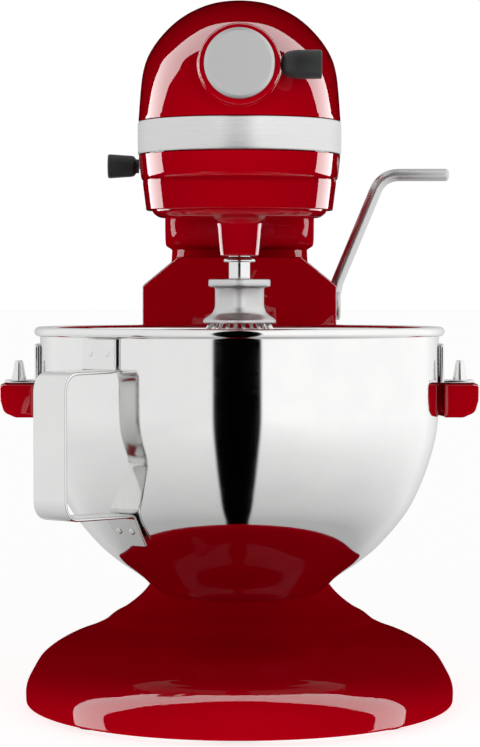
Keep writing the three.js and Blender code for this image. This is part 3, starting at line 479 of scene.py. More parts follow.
def part_of(ring, y_cut, keep_front, count):
    """The stretch of a closed ring on one side of y_cut, resampled evenly by length."""
    if not any((p[1] <= y_cut) == keep_front for p in ring):
        raise ValueError("level clear of the seam")
    total = len(ring)
    start = max(range(total), key=lambda i: ring[i][1] if keep_front else -ring[i][1])
    turned = [Vector(ring[(start + i) % total]) for i in range(total + 1)]
    inside = (lambda p: p.y <= y_cut) if keep_front else (lambda p: p.y >= y_cut)
    path = []
    for a, b in zip(turned, turned[1:]):
        if inside(a):
            path.append(a)
        if inside(a) != inside(b):
            path.append(a.lerp(b, (y_cut - a.y) / (b.y - a.y)))
    if inside(turned[-1]):
        path.append(turned[-1])
    lengths = [0.0]
    for a, b in zip(path, path[1:]):
        lengths.append(lengths[-1] + (b - a).length)
    out, j = [], 0
    for k in range(count):
        want = lengths[-1] * k / (count - 1)
        while j < len(path) - 2 and lengths[j + 1] < want:
            j += 1
        span = lengths[j + 1] - lengths[j] or 1.0
        out.append(tuple(path[j].lerp(path[j + 1], (want - lengths[j]) / span)))
    return out


LOWER = [(314.5, 57.2, -122, 147.4), (316.1, 58.2, -124.5, 151.4), (322, 58.9, -127.5, 165.4),
         (329.2, 59.5, -130.5, 174.4), (338.9, 59.8, -132.2, 181.4)]
UPPER = [(348.6, 59.6, -133.2, 184.4), (358, 58.9, -133.2, 185.2), (368, 58.1, -131.8, 184.7),
         (377, 57, -129, 182.7), (386, 54.4, -125.4, 178.7), (395, 49, -120.2, 172.7),
         (403, 41.8, -114, 164.2), (409, 34.4, -107, 153.2), (413.6, 26, -99, 141.2),
         (417, 16.8, -89, 125.2), (418.7, 6, -78, 106), (418.98, 0.02, -66, 96)]
UPPER_FINE = curve_through(UPPER, 5)
LOWER_FINE = curve_through(LOWER[:4], 5)
BACK = 2.4  # how far the castings step in behind the band
ALONG = 150  # points along each level of the head's skins


def lip(level, step, inset):
    """A level raised by step and pulled in by inset."""
    z, w, front, rear = level
    return (z + step, w - inset, front + inset, rear - inset)


def front_skin(levels, y_cut=REAR_SEAM_Y):
    return [part_of(oval(level), y_cut, True, ALONG) for level in levels]


upper_levels = [lip(UPPER[0], -9.4, BACK), lip(UPPER[0], -0.2, BACK), lip(UPPER[0], 0.0, 0.7),
                lip(UPPER[0], 0.25, 0.2), *[level for level in UPPER_FINE if level[0] > 349.4]]
housing = skin("head_shell", front_skin(upper_levels), closed=False, caps=False)
thicken(housing, 3.2)
cut(housing, rod("c1", HUB_BORE_R, -160, -100, (0, HUB_Z), "y", 64),
    rod("c2", 7.2, -80, 80, (BRUSH_Y, MOTOR_Z), "x"))
dress(housing, PAINT, "stand", "red_paint", "housing_upper")

case_levels = [lip(LOWER[0], 0.0, 1.2), lip(LOWER[0], 0.35, 0.35),
               *[level for level in LOWER_FINE if 315.4 < level[0] < 328.6],
               lip(LOWER[3], -0.4, 0.1), lip(LOWER[3], -0.1, 0.5), lip(LOWER[3], 0.1, BACK),
               lip(LOWER[4], -0.5, BACK)]
case = skin("lower_case", front_skin(case_levels), closed=False, caps=False)
open_slot(case, (-72, -61.5, 322.2), (-50, -20.5, 326.6))
thicken(case, 2.6)
dress(case, PAINT, "stand", "red_paint", "gearcase_lower")

ring_profile = fillet([(14, 313.2), (53.2, 313.2), (53.2, 297.0), (55.2, 296.7), (57.2, 312.5),
                       (57.2, 315.6), (14, 316.8)], [0, 1, 0.5, 2.2, 4, 0, 0], 8, True)
dress(lathe("case_ring", ring_profile, (0, BOWL_Y), sides=128, loop=True), PAINT, "stand",
      "red_paint")
neck_rows = curve_through([(297, 45.4, -44, 145), (297.5, 47.5, -44, 147.6),
                           (299.5, 49.4, -44, 150), (304, 50.8, -44, 151.6),
                           (308, 51.5, -44, 152.4), (316, 52, -44, 153)],
                           3)
neck = skin("case_neck", [oval(row, 0.3, 0.5, 2.6, 2.6, 30) for row in neck_rows])
cut(neck, rod("c4", 54.6, 290, 330, (0, BOWL_Y), "z", 96))
dress(neck, PAINT, "stand", "red_paint")

cover_rows = [lip(LOWER[0], 0.0, 1.2), lip(LOWER[0], 0.35, 0.35),
              *[level for level in curve_through([*LOWER, *UPPER], 5)
                if 315.4 < level[0] and level[3] > 142]]
cover = skin("rear_cover_shell",
             [part_of(oval(row), REAR_SEAM_Y + 0.5, False, 90) for row in cover_rows],
             closed=False, caps=False)
dress(thicken(cover, 3.0), PAINT, "stand", "red_paint", "rear_cover")

band_low, band_high = (329.5, 60, -131.6, 176.2), (348.3, 60, -133.6, 185.2)


def band_level(share, inset):
    row = [a + (b - a) * share for a, b in zip(band_low, band_high)]
    return lip(row, 0.0, inset)


band_rows = [(0.0, 0.7), (0.012, 0.3), (0.04, 0.06), (0.07, 0.0), (0.5, -0.1), (0.93, 0.0),
             (0.96, 0.06), (0.988, 0.3), (1.0, 0.7)]
band = skin("trim_strip", front_skin([band_level(*row) for row in band_rows],
                                     y_cut=REAR_SEAM_Y - 0.4),
            closed=False, caps=False)
dress(thicken(band, 1.5), BAND, "stand", "brushed_metal", "trim_band")


# ---------------------------------------------------------------- attachment hub
BOSS_R = 23.0


def level_at(z):
    """Half width and front of the head's outside at a height."""
    for low, high in zip(UPPER_FINE, UPPER_FINE[1:]):
        if low[0] <= z <= high[0]:
            t = (z - low[0]) / (high[0] - low[0])
            return [a + (b - a) * t for a, b in zip(low, high)]
    return UPPER_FINE[-1]


def head_front(x, z):
    _, w, front, _ = level_at(z)
    reach = FRONT_REACH * w
    inner = max(0.0, 1 - min(1.0, abs(x) / w) ** HEAD_POWER)
    return front + reach - reach * inner ** (1 / HEAD_POWER)


def boss():
    """Collar of the attachment hub, which flares into the head's curved front."""
    flare = 1.8
    rings = []
    sides = 120
    edge = fillet([(HUB_BORE_R, -118), (HUB_BORE_R, -143), (BOSS_R, -143), (BOSS_R, -138)],
                  [0, 0.6, 2.2, 0], 6)
    for r, y in edge:
        rings.append([(r * math.cos(t), y, HUB_Z + r * math.sin(t))
                      for t in (2 * math.pi * k / sides for k in range(sides))])
    for step in range(9):
        s = step / 8 * math.pi / 2
        ring = []
        for k in range(sides):
            t = 2 * math.pi * k / sides
            r = BOSS_R + flare * (1 - math.cos(s))
            x, z = r * math.cos(t), r * math.sin(t)
            y = head_front(x, HUB_Z + z) - flare * (1 - math.sin(s)) + 0.12 * math.sin(s)
            ring.append((x, max(y, -137.6), HUB_Z + z))
        rings.append(ring)
    sunk = [(x * 0.96, y + 2.0, HUB_Z + (z - HUB_Z) * 0.96) for x, y, z in rings[-1]]
    inner = [(x * 18.5 / 23, max(y, -118) + 6, HUB_Z + (z - HUB_Z) * 18.5 / 23)
             for x, y, z in rings[len(edge) - 1]]
    return skin("hub_boss", [*rings, sunk, inner], caps=False, loop=True)


dress(cut(boss(), rod("c5", 3.0, 10, 40, (KNOB_Y, HUB_Z), "x", 24)), PAINT, "stand", "red_paint")
sleeve = lathe("hub_sleeve", tube_profile(13.0, 17.2, -142.5, -103, 0.7), (0, HUB_Z), "y", 72, True)
dress(cut(sleeve, rod("c6", 3.0, 10, 40, (KNOB_Y, HUB_Z), "x", 24)), CAST, "stand",
      "cast_aluminium", "hub_socket")

cap_profile = fillet([(0, -147.9), (18.2, -148.0), (19.9, -147.4), (19.9, -143.3), (12.7, -143.3),
                      (12.7, -139), (0, -139)], [0, 2.0, 1.2, 0.5, 0.3, 0.8, 0], 6)
dress(lathe("hub_cover_cap", cap_profile, (0, HUB_Z), "y", 96), CAP, "hub_cover",
      "cast_aluminium", "hub_cap")

knob_profile = [(0, 23.2), (3.1, 23.2), (3.2, 23.6), (4.4, 23.9), (5.6, 24.7), (6.7, 26.2),
                (7.5, 28.4), (8.0, 30.9), (8.2, 33.5), (8.2, 45.3), (8.0, 46.0), (7.4, 46.4),
                (6.6, 46.2), (0, 46.1)]
dress(lathe("hub_thumbscrew", knob_profile, (KNOB_Y, HUB_Z), "x", 48), BLACK, "hub_screw",
      "black_plastic",
      "hub_knob")

# ---------------------------------------------------------------- planetary and beater
disc = fillet([(0, 292.6), (47.6, 292.6), (51.4, 295.4), (52, 299.6), (0, 299.6)],
              [0, 5, 4, 0.3, 0], 7)
dress(lathe("planetary_disc", disc, (0, BOWL_Y), sides=120), PAINT, "planetary", "red_paint",
      "planetary_carrier")
spindle = [(6.6, 270.0), (7.0, 269.6), (11.1, 269.6), (11.4, 269.75), (11.6, 270.2), (12.0, 273),
           (12.6, 279), (13.1, 285), (13.6, 288), (14.6, 290.4), (16.2, 292), (18.8, 292.9),
           (19.6, 294.5), (6.6, 294.5)]
dress(lathe("planetary_neck", spindle, (0, BEATER_Y), sides=64, loop=True), PAINT, "planetary",
      "red_paint")

shaft = fillet([(0, 238), (6.2, 238), (6.2, 311), (0, 311)], [0, 0.8, 0.6, 0], 4)
dress(lathe("beater_spindle", shaft, (0, BEATER_Y), sides=48), STEEL, "beater", "polished_steel",
      "beater_shaft")
washer = [(6.5, 266.0), (9.0, 266.0), (9.4, 266.5), (9.1, 267.4), (8.3, 268.4), (7.4, 269.1),
          (6.5, 269.2)]
dress(lathe("spindle_washer", washer, (0, BEATER_Y), sides=48, loop=True), STEEL, "beater",
      "black_rubber",
      "shaft_washer")

HUB_SKIRT = [(0, 230.9), (17.8, 230.9), (20.6, 230.5), (21.3, 231.0), (21.2, 232.2),
             (19.8, 233.6), (17.4, 235.0), (15.6, 236.8), (14.6, 239.2), (14.3, 241.0),
             (14.3, 250.2), (14.6, 251.0), (15.4, 251.4), (17.0, 251.5), (17.9, 252.0),
             (18.1, 252.8), (18.1, 255.0), (17.8, 255.8), (17.1, 256.2), (8.4, 256.2),
             (7.6, 255.6), (6.6, 254.6), (6.6, 238.0), (0, 237.6)]
whisk_hub = lathe("whisk_holder", HUB_SKIRT, (0, BEATER_Y), sides=96)
cut(whisk_hub, block("c7", (-11.7, BEATER_Y - 2.6, 246.4), (11.7, BEATER_Y + 2.6, 262)))
dress(whisk_hub, CAST, "beater", "cast_aluminium", "whisk_hub")

STRAND = [(15.4, 233.0), (17.6, 229.4), (22, 222), (35, 200), (47.5, 170), (52, 142), (50, 122),
          (42.5, 107.5), (30, 96.5), (15, 90.6), (0, 89)]
LOOPS = 6


def wire(index):
    """One loop of the whisk, both halves of it."""
    angle = math.pi * (index + 0.25) / LOOPS
    along = Vector((math.cos(angle), math.sin(angle), 0))
    rise = 1.1 * (index - (LOOPS - 1) / 2) + 2.0
    half = curve_through(STRAND, 7)
    lifted = [(r, z + rise * max(0.0, 1 - r / 40) ** 2 if z < 120 else z) for r, z in half]
    both = [*lifted, *[(-r, z) for r, z in lifted[-2::-1]]]
    path = [Vector((0, BEATER_Y, z)) + along * r for r, z in both]
    return sweep("wire", path, circle(1.05, 10), along.cross(Vector((0, 0, 1))))


dress(join(*[wire(i) for i in range(LOOPS)]), STEEL, "beater", "polished_steel", "whisk_wires")

# ---------------------------------------------------------------- bowl
RIM_Z = 225.3
outside = curve_through([(0, 68), (26, 68), (40, 68.3), (50, 72.5), (57.9, 80), (73.3, 90.7),
                         (85.2, 101.4), (99.4, 119), (108.3, 137), (114.3, 154.8), (117.4, 171),
                         (118, 190), (118, 221.6)], 7)
inside = [(max(r - 1.2, 0), z + (1.1 if z < 90 else 0.6 if z < 130 else 0))
          for r, z in outside if z < 219]
bead = [(118.6 + 2.8 * math.cos(t), RIM_Z + 2.8 * math.sin(t))
        for t in (math.radians(a) for a in range(-100, 211, 15))]
bowl_profile = [*outside, *bead, (116.8, 222.4), *inside[::-1]]
dress(lathe("mixing_bowl", bowl_profile, (0, BOWL_Y), sides=180, sharp=60), BOWL_STEEL, "bowl",
      "polished_steel", "bowl_shell")

HANDLE_ANGLE = math.radians(49)
handle_out = Vector((-math.cos(HANDLE_ANGLE), -math.sin(HANDLE_ANGLE), 0))
handle_side = Vector((-handle_out.y, handle_out.x, 0))
handle_path = fillet([(119.7, 222), (119.7, 204), (159, 203.4), (159, 122.8), (103.9, 122.2),
                      (91.6, 104.8)],
                     [0, 3, 11, 11, 4, 0], 12)


def strap_width(height):
    """The strap narrows a little towards its lower foot."""
    return 12.5 if height > 125 else 12.5 - 2.5 * (125 - height) / 20


def strap():
    """The handle's flat strip, carried along its path."""
    rings = []
    for i, (r, z) in enumerate(handle_path):
        r0, z0 = handle_path[max(i - 1, 0)]
        r1, z1 = handle_path[min(i + 1, len(handle_path) - 1)]
        ahead = (Vector((0, 0, z1 - z0)) + handle_out * (r1 - r0)).normalized()
        normal = ahead.cross(handle_side).normalized()
        wide = strap_width(z)
        section = fillet([(-wide, -1), (wide, -1), (wide, 1), (-wide, 1)], 0.95, 4, True)
        here = Vector((0, BOWL_Y, z)) + handle_out * r
        rings.append([here + handle_side * u + normal * v for u, v in section])
    return skin("bowl_handle_strap", rings)


def weld(r, z, side, tilt):
    """Spot weld: a low button on the strap's face."""
    face = (handle_out * math.cos(tilt) - Vector((0, 0, math.sin(tilt)))).normalized()
    up = face.cross(handle_side).normalized()
    centre = Vector((0, BOWL_Y, z)) + handle_out * r + handle_side * side
    rings = []
    for radius, height in ((1.9, -0.6), (1.9, 0.12), (1.5, 0.32), (0.7, 0.4)):
        middle = centre + face * height
        rings.append([middle + handle_side * (radius * math.cos(a)) + up * (radius * math.sin(a))
                      for a in (2 * math.pi * k / 16 for k in range(16))])
    return skin("weld", rings)


welds = [weld(120.7, 214, side, 0.0) for side in (-6.5, 6.5)]
welds += [weld(98.6, 112.6, side, math.radians(35)) for side in (-5, 5)]
dress(join(strap(), *welds), STEEL, "bowl", "polished_steel", "bowl_handle")

for side, sign in (("left", -1), ("right", 1)):
    upright = [(BOWL_Y - 14, 195.2), (BOWL_Y + 14, 195.2), (BOWL_Y + 14, 218), (BOWL_Y - 14, 218)]
    wall = plate("wall", fillet(upright, [0, 0, 3, 3], 5, True), sign * 118.5, sign * 120.6, "x")
    tongue = [(sign * 118.5, BOWL_Y - 11), (sign * 139, BOWL_Y - 11), (sign * 139, BOWL_Y + 11),
              (sign * 118.5, BOWL_Y + 11)]
    tab = plate("tab", fillet(tongue, [0, 4, 4, 0], 5, True), 195.0, 196.5, "z")
    cut(tab, rod("c8", 4.8, 190, 200, (sign * PIN_X, BOWL_Y), "z", 32))
    bracket = bevelled(join(wall, tab), 0.4, 2)
    bracket.name = "bowl_ear_" + side
    dress(bracket, STEEL, "bowl", "polished_steel", "bowl_bracket_" + side)
    pin = [(0, 194.9), (4.1, 194.9), (4.2, 195.2), (4.2, 198.2), (4.0, 198.8), (3.7, 200),
           (2.7, 206.2), (2.4, 207.5), (1.8, 208.1), (0, 208.2)]
    dress(lathe("locating_pin_" + side, pin, (sign * PIN_X, BOWL_Y), sides=40), STEEL, "bowl_lift",
          "polished_steel", "bowl_pin_" + side)

# ---------------------------------------------------------------- lift carriage
PANEL_RIGHT = [(55, 152), (61.9, 160), (61.9, 252.6), (39.5, 271.1)]
panel_outline = fillet([*[(-x, z) for x, z in PANEL_RIGHT[::-1]], *PANEL_RIGHT][::-1], 2.6, 4, True)
panel = plate("lift_panel", panel_outline, 68, 82, "y")
cut(panel, block("c9", (-17, 60, 190), (17, 73, 226)),
    *[block("c10", (sign * 30 - 5.5, 73.4, 100), (sign * 30 + 5.5, 90, 300)) for sign in (-1, 1)])
bevelled(panel, 1.6, 4)
dress(panel, PAINT, "bowl_lift", "red_paint", "lift_carriage")

arm_section = fillet([(121.3, 174.4), (132.5, 174.4), (139.4, 177.4), (141.9, 186),
                      (141.9, 194.6), (121.3, 194.6)],
                     [1, 5, 5, 8, 3, 1.2], 7, True)


def arm(sign):
    """One fork of the carriage: its section carried round the bowl, with a rounded tip."""
    rings = []
    tip, rear = -3.4, 66.0
    middle = (sum(p[0] for p in arm_section) / len(arm_section), 184.0)
    steps = [(tip - 0.9, 0.78), (tip - 0.75, 0.88), (tip - 0.45, 0.955), (tip, 1.0)]
    steps += [(tip + (rear - tip) * k / 40, 1.0) for k in range(1, 41)]
    for degrees, size in steps:
        t = math.radians(degrees)
        ring = []
        for r, z in arm_section:
            r, z = middle[0] + (r - middle[0]) * size, middle[1] + (z - middle[1]) * size
            ring.append((sign * r * math.cos(t), min(BOWL_Y + r * math.sin(t), 78), z))
        rings.append(ring)
    return skin("lift_fork", rings, sharp=48)


dress(arm(-1), PAINT, "bowl_lift", "red_paint").name = "lift_fork_left"
dress(arm(1), PAINT, "bowl_lift", "red_paint").name = "lift_fork_right"
tongue = bevelled(block("lift_tongue", (-7, 80, 160), (7, 110, 176)), 1.0, 2)
dress(tongue, PAINT, "bowl_lift", "red_paint")

# ---------------------------------------------------------------- lift lever
lever_path = fillet([(60, 238.5), (63.5, 255), (92.6, LEVER_TOP_Z), (133.6, LEVER_TOP_Z)],
                    [0, 24, 17, 0], 16)
lever_ends = [(134.3, 3.9), (134.9, 3.6), (135.5, 3.0), (135.9, 2.0), (136, 0.6)]


def lever():
    """Round rod of the lift, bent twice, with a domed end."""
    side = Vector((0, 1, 0))
    rings = []
    for i, (x, z) in enumerate(lever_path):
        x0, z0 = lever_path[max(i - 1, 0)]
        x1, z1 = lever_path[min(i + 1, len(lever_path) - 1)]
        out = Vector((x1 - x0, 0, z1 - z0)).normalized().cross(side)
        rings.append([Vector((x, LIFT_Y, z)) + side * u + out * v for u, v in circle(4.0, 32)])
    for x, r in lever_ends:
        out = Vector((1, 0, 0)).cross(side)
        rings.append([Vector((x, LIFT_Y, LEVER_TOP_Z)) + side * u + out * v for u,
                      v in circle(r, 32)])
    return skin("lift_handle_rod", rings)


pivot = lathe("pivot", fillet([(0, 54.4), (9.5, 54.4), (9.5, 65.4), (0, 66)], [0, 0.8, 1.6, 0], 5),
              (LIFT_Y, LIFT_Z), "x", 48)
dress(join(lever(), pivot), LEVER, "lift_handle", "polished_steel", "lift_lever")

# ---------------------------------------------------------------- stand
# height, half width, front, rear and the Y where the front end starts to round in
STAND = [(2.5, 127, -188.2, 157.4, -27), (3.2, 128.2, -189.3, 158.6, -27),
         (4.8, 128.6, -189.7, 159, -27), (11, 128.6, -189.7, 159, -27),
         (16.5, 127, -189.4, 157.6, -26), (21.5, 123.8, -188.4, 155.8, -22),
         (25.4, 118.8, -186.6, 154.6, -14), (27.6, 114.8, -184.4, 154.6, -7),
         (29.1, 111.6, -181.8, 155, 0), (30.4, 108.2, -177.6, 155.3, 14),
         (31.6, 104.2, -170, 155.6, 30), (32.6, 100, -155, 155.8, 45),
         (33.8, 95.6, -120, 156, 58), (35.2, 91.6, -64, 156, 66), (36.4, 88.6, -26, 156, 71),
         (37.8, 86, -4, 156, 74), (41.2, 81.2, 16, 155.7, 76), (44.6, 73.8, 38, 155.4, 79),
         (51.1, 64.6, 59, 154.8, 88), (57.5, 58.8, 70, 154.3, 97),
         (64, 56, 78, 153.8, 103), (74, 54.4, 84, 153.3, 108), (95, 52.6, 88, 152.5, 112),
         (140, 50.5, 90, 151, 113), (220, 47, 90, 150, 111), (268, 44.4, 90, 149.5, 110),
         (276, 44, 90, 149.5, 110)]
SADDLE = [(277, 45.2, 74, 149.5, 94), (278.2, 47, 62, 149.6, 83), (280.4, 47.4, 57, 149.8, 78),
          (284, 47.5, 53.4, 150, 75), (290, 47.5, 51, 150, 72), (296.6, 47.5, 50, 150, 71)]
BASE_ENDS = (1.1, 2.05)  # rear depth in half widths, front power
COLUMN_ENDS = (0.62, 2.6)
PLAN_LOW, PLAN_HIGH = 30.0, 64.0  # the plan changes from oval to column between these heights
REAR_POWER = 2.7


def stand_ring(row):
    """Plan of the stand at one height."""
    z, w, front, rear, shoulder = row
    t = min(1.0, max(0.0, (z - PLAN_LOW) / (PLAN_HIGH - PLAN_LOW)))
    rear_depth, front_power = [a + (b - a) * t for a, b in zip(BASE_ENDS, COLUMN_ENDS)]
    return oval((z, w, front, rear), (shoulder - front) / w, rear_depth, front_power, REAR_POWER,
                72)


stand_rows = [*curve_through(STAND, 4), *curve_through(SADDLE, 3)]
underside = [(9.0, 122.6, -183, 152.4, -27), (2.9, 124.0, -184.6, 153.8, -27),
             (2.5, 125.0, -186, 155, -27)]
stand = skin("stand_casting", [stand_ring(row) for row in [*underside, *stand_rows]])
cut(stand, block("c11", (-9, 80, 120), (9, 135, 236)))
dress(stand, STAND_PAINT, "stand", "red_paint", "pedestal")

foot_profile = fillet([(0, 0), (12.2, 0), (13, 2), (12.4, 3.7), (0, 3.7)], [0, 1.2, 0.6, 0.5, 0], 4)
for node, x, y in (("foot_front_left", -80, -124), ("foot_front_right", 80, -124),
                   ("foot_rear_left", -84, 104), ("foot_rear_right", 84, 104)):
    dress(lathe(node + "_pad", foot_profile, (x, y), sides=48), RUBBER, "stand", "black_rubber",
          node)

gland = [(3.6, 146), (7, 146), (7, 153.4), (9, 153.5), (9, 154.3), (8.6, 154.8), (8.6, 155.4),
         (8.9, 155.9), (8.4, 156.6), (7.4, 157), (4.4, 157), (3.6, 156.4)]
dress(lathe("cord_inlet", gland, (0, GLAND_Z), "y", 48, True), RUBBER, "stand", "black_rubber",
      "cord_gland")

# ---------------------------------------------------------------- small trim
speed_profile = [(0, -79.2), (5.6, -79.4), (6.6, -79.3), (7.2, -78.8), (7.25, -78.0), (7.0, -74),
                 (6.7, -70), (6.45, -66), (6.2, -64.2), (5.6, -63.2), (4.6, -62.6), (4.2, -62.0),
                 (4.2, -60.6), (0, -60.6)]
dress(lathe("speed_grip", speed_profile, (-26, 324.4), "x", 48), BLACK, "speed_control",
      "black_plastic",
      "speed_knob")

for side, sign in (("left", -1), ("right", 1)):
    cap_rows = fillet([(0, sign * 52), (6.6, sign * 52), (6.6, sign * 57.3), (8, sign * 57.6),
                       (8, sign * 59.6), (7.0, sign * 60.2), (0, sign * 60.2)],
                       [0, 0, 0, 0.2, 0.6, 0.5, 0], 3)
    brush_cap = lathe("brush_plug_" + side, cap_rows, (BRUSH_Y, MOTOR_Z), "x", 48)
    low, high = sorted((sign * 59.0, sign * 62))
    cut(brush_cap, block("c12", (low, BRUSH_Y - 5.5, MOTOR_Z - 0.8),
                         (high, BRUSH_Y + 5.5, MOTOR_Z + 0.8)))
    dress(brush_cap, BLACK, "stand", "black_plastic", "brush_cap_" + side)

seat_rows = fillet([(0, 172), (6.8, 172), (6.8, 181.5), (0, 181.6)], [0, 0, 1.2, 0], 5)
dress(lathe("cover_screw_seat", seat_rows, (0, COVER_SCREW_Z), "y", 48), PAINT, "stand",
      "red_paint")
screw_rows = fillet([(0, 170), (2, 170), (2, 181.7), (4.5, 181.7), (4.5, 182.9), (0, 183.5)],
                    [0, 0, 0, 0, 0.5, 0], 3)
screw = lathe("cover_screw", screw_rows, (0, COVER_SCREW_Z), "y", 40)
cut(screw, block("c13", (-3, 182.5, COVER_SCREW_Z - 0.6), (3, 185, COVER_SCREW_Z + 0.6)),
    block("c14", (-0.6, 182.5, COVER_SCREW_Z - 3), (0.6, 185, COVER_SCREW_Z + 3)))
dress(screw, BAND, "stand", "brushed_metal", "rear_cover_screw")

# ---------------------------------------------------------------- CAD nodes that stay
slot_of = {entry["node"]: entry["material_slot"] for entry in frame["record"]["subparts"]}
for node, kept in frame["nodes"].items():
    if kept.hide_render:
        continue
    kept.data.materials.clear()
    kept.data.materials.append(SLOTS[slot_of[node]])

# ---------------------------------------------------------------- stage
FLOOR_HALF = 40.0
floor_mesh = bpy.data.meshes.new("floor")
floor_mesh.from_pydata([(-FLOOR_HALF, -FLOOR_HALF, 0), (FLOOR_HALF, -FLOOR_HALF, 0),
                        (FLOOR_HALF, FLOOR_HALF, 0), (-FLOOR_HALF, FLOOR_HALF, 0)], [],
                        [(0, 1, 2, 3)])
floor = bpy.data.objects.new("floor", floor_mesh)
bpy.context.collection.objects.link(floor)
pale = Shader("floor_pale", Base_Color=(0.8, 0.8, 0.8, 1), Roughness=0.8, Specular_IOR_Level=0.0)
pale.bsdf.inputs["Emission Color"].default_value = (1, 1, 1, 1)
pale.bsdf.inputs["Emission Strength"].default_value = 0.8
floor_mesh.materials.append(pale.material)
floor.visible_glossy = floor.visible_shadow = False

world = bpy.data.worlds.new("studio")
bpy.context.scene.world = world
world.use_nodes = True
tree = world.node_tree
tree.nodes.clear()


def background(level):
    made = tree.nodes.new("ShaderNodeBackground")
    made.inputs[0].default_value = (level, level, level, 1)
    return made.outputs[0]


def choose(test, first, second):
    made = tree.nodes.new("ShaderNodeMixShader")
    tree.links.new(test, made.inputs[0])
    tree.links.new(first, made.inputs[1])
    tree.links.new(second, made.inputs[2])
    return made.outputs[0]


path = tree.nodes.new("ShaderNodeLightPath").outputs
around = choose(path["Is Glossy Ray"], background(0.22), background(0.0))
tree.links.new(choose(path["Is Camera Ray"], around, background(1.0)),
               tree.nodes.new("ShaderNodeOutputWorld").inputs[0])

# ---------------------------------------------------------------- light
AIM = Vector((0, -0.107, 0.36))
shown = [o for o in bpy.data.objects if o.type == "MESH" and not o.hide_render and o is not floor]


def receivers(name, members):
    made = bpy.data.collections.new(name)
    for member in members:
        made.objects.link(member)
    return made


PAINTS = (PAINT, STAND_PAINT)
PAINTED = receivers("painted", [o for o in shown if o.data.materials[0] in PAINTS])
ON_STAND = receivers("on_stand", [stand])
ABOVE = receivers("above", [o for o in shown if o.data.materials[0] is PAINT])
METAL = receivers("metal", [o for o in shown if o.data.materials[0] not in PAINTS])
SATIN = receivers("satin", [o for o in shown
                            if o.data.materials[0] in (CAP, CAST, ROUGH_CAST, BAND)])


def softbox(name, place, width, height, radiance, only):
    """Rectangular light facing AIM, width measured along X, given by its radiance."""
    data = bpy.data.lights.new(name, "AREA")
    data.shape = "RECTANGLE"
    data.size, data.size_y = width, height
    data.energy = radiance * math.pi * width * height
    lamp = bpy.data.objects.new(name, data)
    backwards = (Vector(place) - AIM).normalized()
    along = backwards.cross(Vector((1, 0, 0))).normalized()
    turn = Matrix((along.cross(backwards), along, backwards)).transposed()
    lamp.rotation_euler = turn.to_euler()
    lamp.location = place
    lamp.visible_camera = False
    lamp.light_linking.receiver_collection = only
    bpy.context.collection.objects.link(lamp)
    return lamp


def glowing(made, shader, radiance, only):
    """Turns a mesh into a see-through light that only the glossy surfaces of some pieces see."""
    nodes = shader.tree.nodes
    nodes.remove(shader.bsdf)
    glow = shader.node("ShaderNodeEmission", Strength=radiance).outputs[0]
    clear = shader.node("ShaderNodeBsdfTransparent").outputs[0]
    both = shader.node("ShaderNodeAddShader", i0=glow, i1=clear).outputs[0]
    shader.tree.links.new(both, nodes["Material Output"].inputs["Surface"])
    made.visible_camera = made.visible_shadow = made.visible_diffuse = False
    made.light_linking.receiver_collection = only
    made.data.materials.append(shader.material)


ARCH_RADIUS = 1.1


def arch(name, centre, sides, top, radiance, only, once=False):
    """Curved softbox over centre. sides and top are (azimuth from the camera's direction, width),
    in degrees. With once, it shows in its pieces, but not in the mirror images of those pieces."""
    steps = 56
    start = math.radians(-24)  # the arch's feet reach below its centre
    rings = []
    for step in range(steps + 1):
        r = start + (math.pi - 2 * start) * step / steps
        share = max(0.0, math.sin(r))
        azimuth, width = [a + (b - a) * share for a, b in zip(sides, top)]
        outward = Vector((math.cos(r), 0, math.sin(r)))
        ring = []
        for k in range(7):
            a = math.radians(azimuth + width * (k / 6 - 0.5))
            spoke = math.sin(a) * outward - math.cos(a) * Vector((0, 1, 0))
            ring.append((centre + ARCH_RADIUS * spoke) / MM)
        rings.append(ring)
    s = Shader(name + "_light")
    if once:
        first = s.math("LESS_THAN", s.node("ShaderNodeLightPath").outputs["Ray Depth"], 1.5)
        radiance = s.math("MULTIPLY", first, radiance)
    glowing(skin(name, rings, closed=False, caps=False), s, radiance, only)


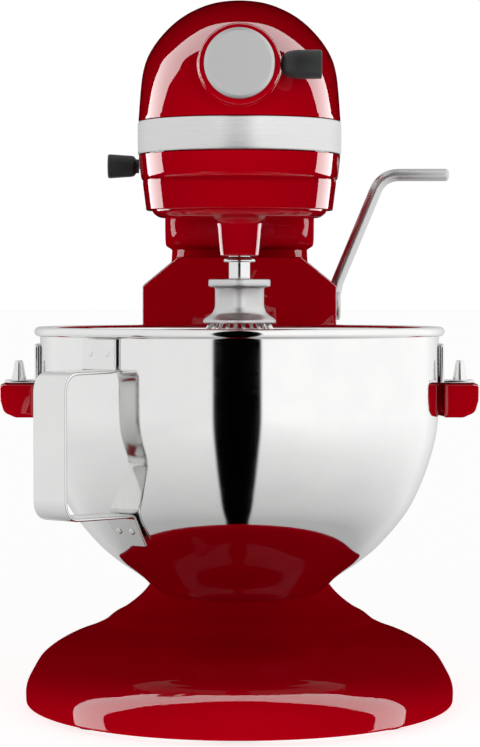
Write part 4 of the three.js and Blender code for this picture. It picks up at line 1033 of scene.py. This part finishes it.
arch("head_arch", AIM, sides=(124, 31), top=(78, 25), radiance=5.5, only=ABOVE)
arch("base_arch", Vector((0, -0.15, 0)), sides=(97, 22), top=(76, 58), radiance=26.0,
     only=ON_STAND, once=True)
for side, sign in (("left", -1), ("right", 1)):
    fill = softbox("fill_" + side, (sign * 0.9, -1.6, 0.62), 1.0, 0.8, 2.4, PAINTED)
    fill.visible_glossy = False
softbox("front_card", (0, -1.9, 0.5), 1.4, 1.4, 0.62, SATIN)


def studio_shell():
    """Graded light round the metal: dim near the object, bright walls, and a dark gap in front."""
    radius, low, high, corner = 2.2, 0.0006, 2.0, 0.3
    profile = [(0.02, low), *[(radius * k / 12, low) for k in range(1, 11)]]
    profile += [(radius - corner * (1 - math.sin(t)), low + corner * (1 - math.cos(t)))
                for t in (math.pi / 2 * k / 8 for k in range(9))]
    profile += [(radius, high), (0.02, high)]
    made = lathe("studio_shell", [(r / MM, z / MM) for r, z in profile], (0, BOWL_Y), sides=96)
    s = Shader("studio_light")
    split = s.node("ShaderNodeSeparateXYZ", Vector=s.coords).outputs
    ahead = s.math("SUBTRACT", BOWL_Y * MM, split[1])
    azimuth = s.math("ABSOLUTE",
                     s.math("ADD", s.math("ARCTAN2", split[0], ahead), math.radians(1.3)))
    away = s.math("SQRT", s.math("ADD", s.math("MULTIPLY", split[0], split[0]),
                                 s.math("MULTIPLY", ahead, ahead)))
    near = s.math("DIVIDE", 1.0, away)
    half_gap = s.ramp(near, 0.5, 6.5, math.radians(12.4), math.radians(6.3))
    open_part = s.ramp(s.math("SUBTRACT", azimuth, half_gap), 0.0, 0.025, 0.0, 1.0)
    level = s.ramp(near, 0.5, 6.5, 1.0, 0.45)
    level = s.math("MULTIPLY", level, s.ramp(split[0], -0.6, 0.6, 0.92, 1.14))
    level = s.math("MULTIPLY", level, s.ramp(azimuth, 2.3, 3.0, 1.0, 0.55))
    glowing(made, s, s.math("MULTIPLY", level, open_part), METAL)


studio_shell()

bpy.context.scene.view_settings.view_transform = "Standard"
bpy.context.scene.view_settings.look = "None"
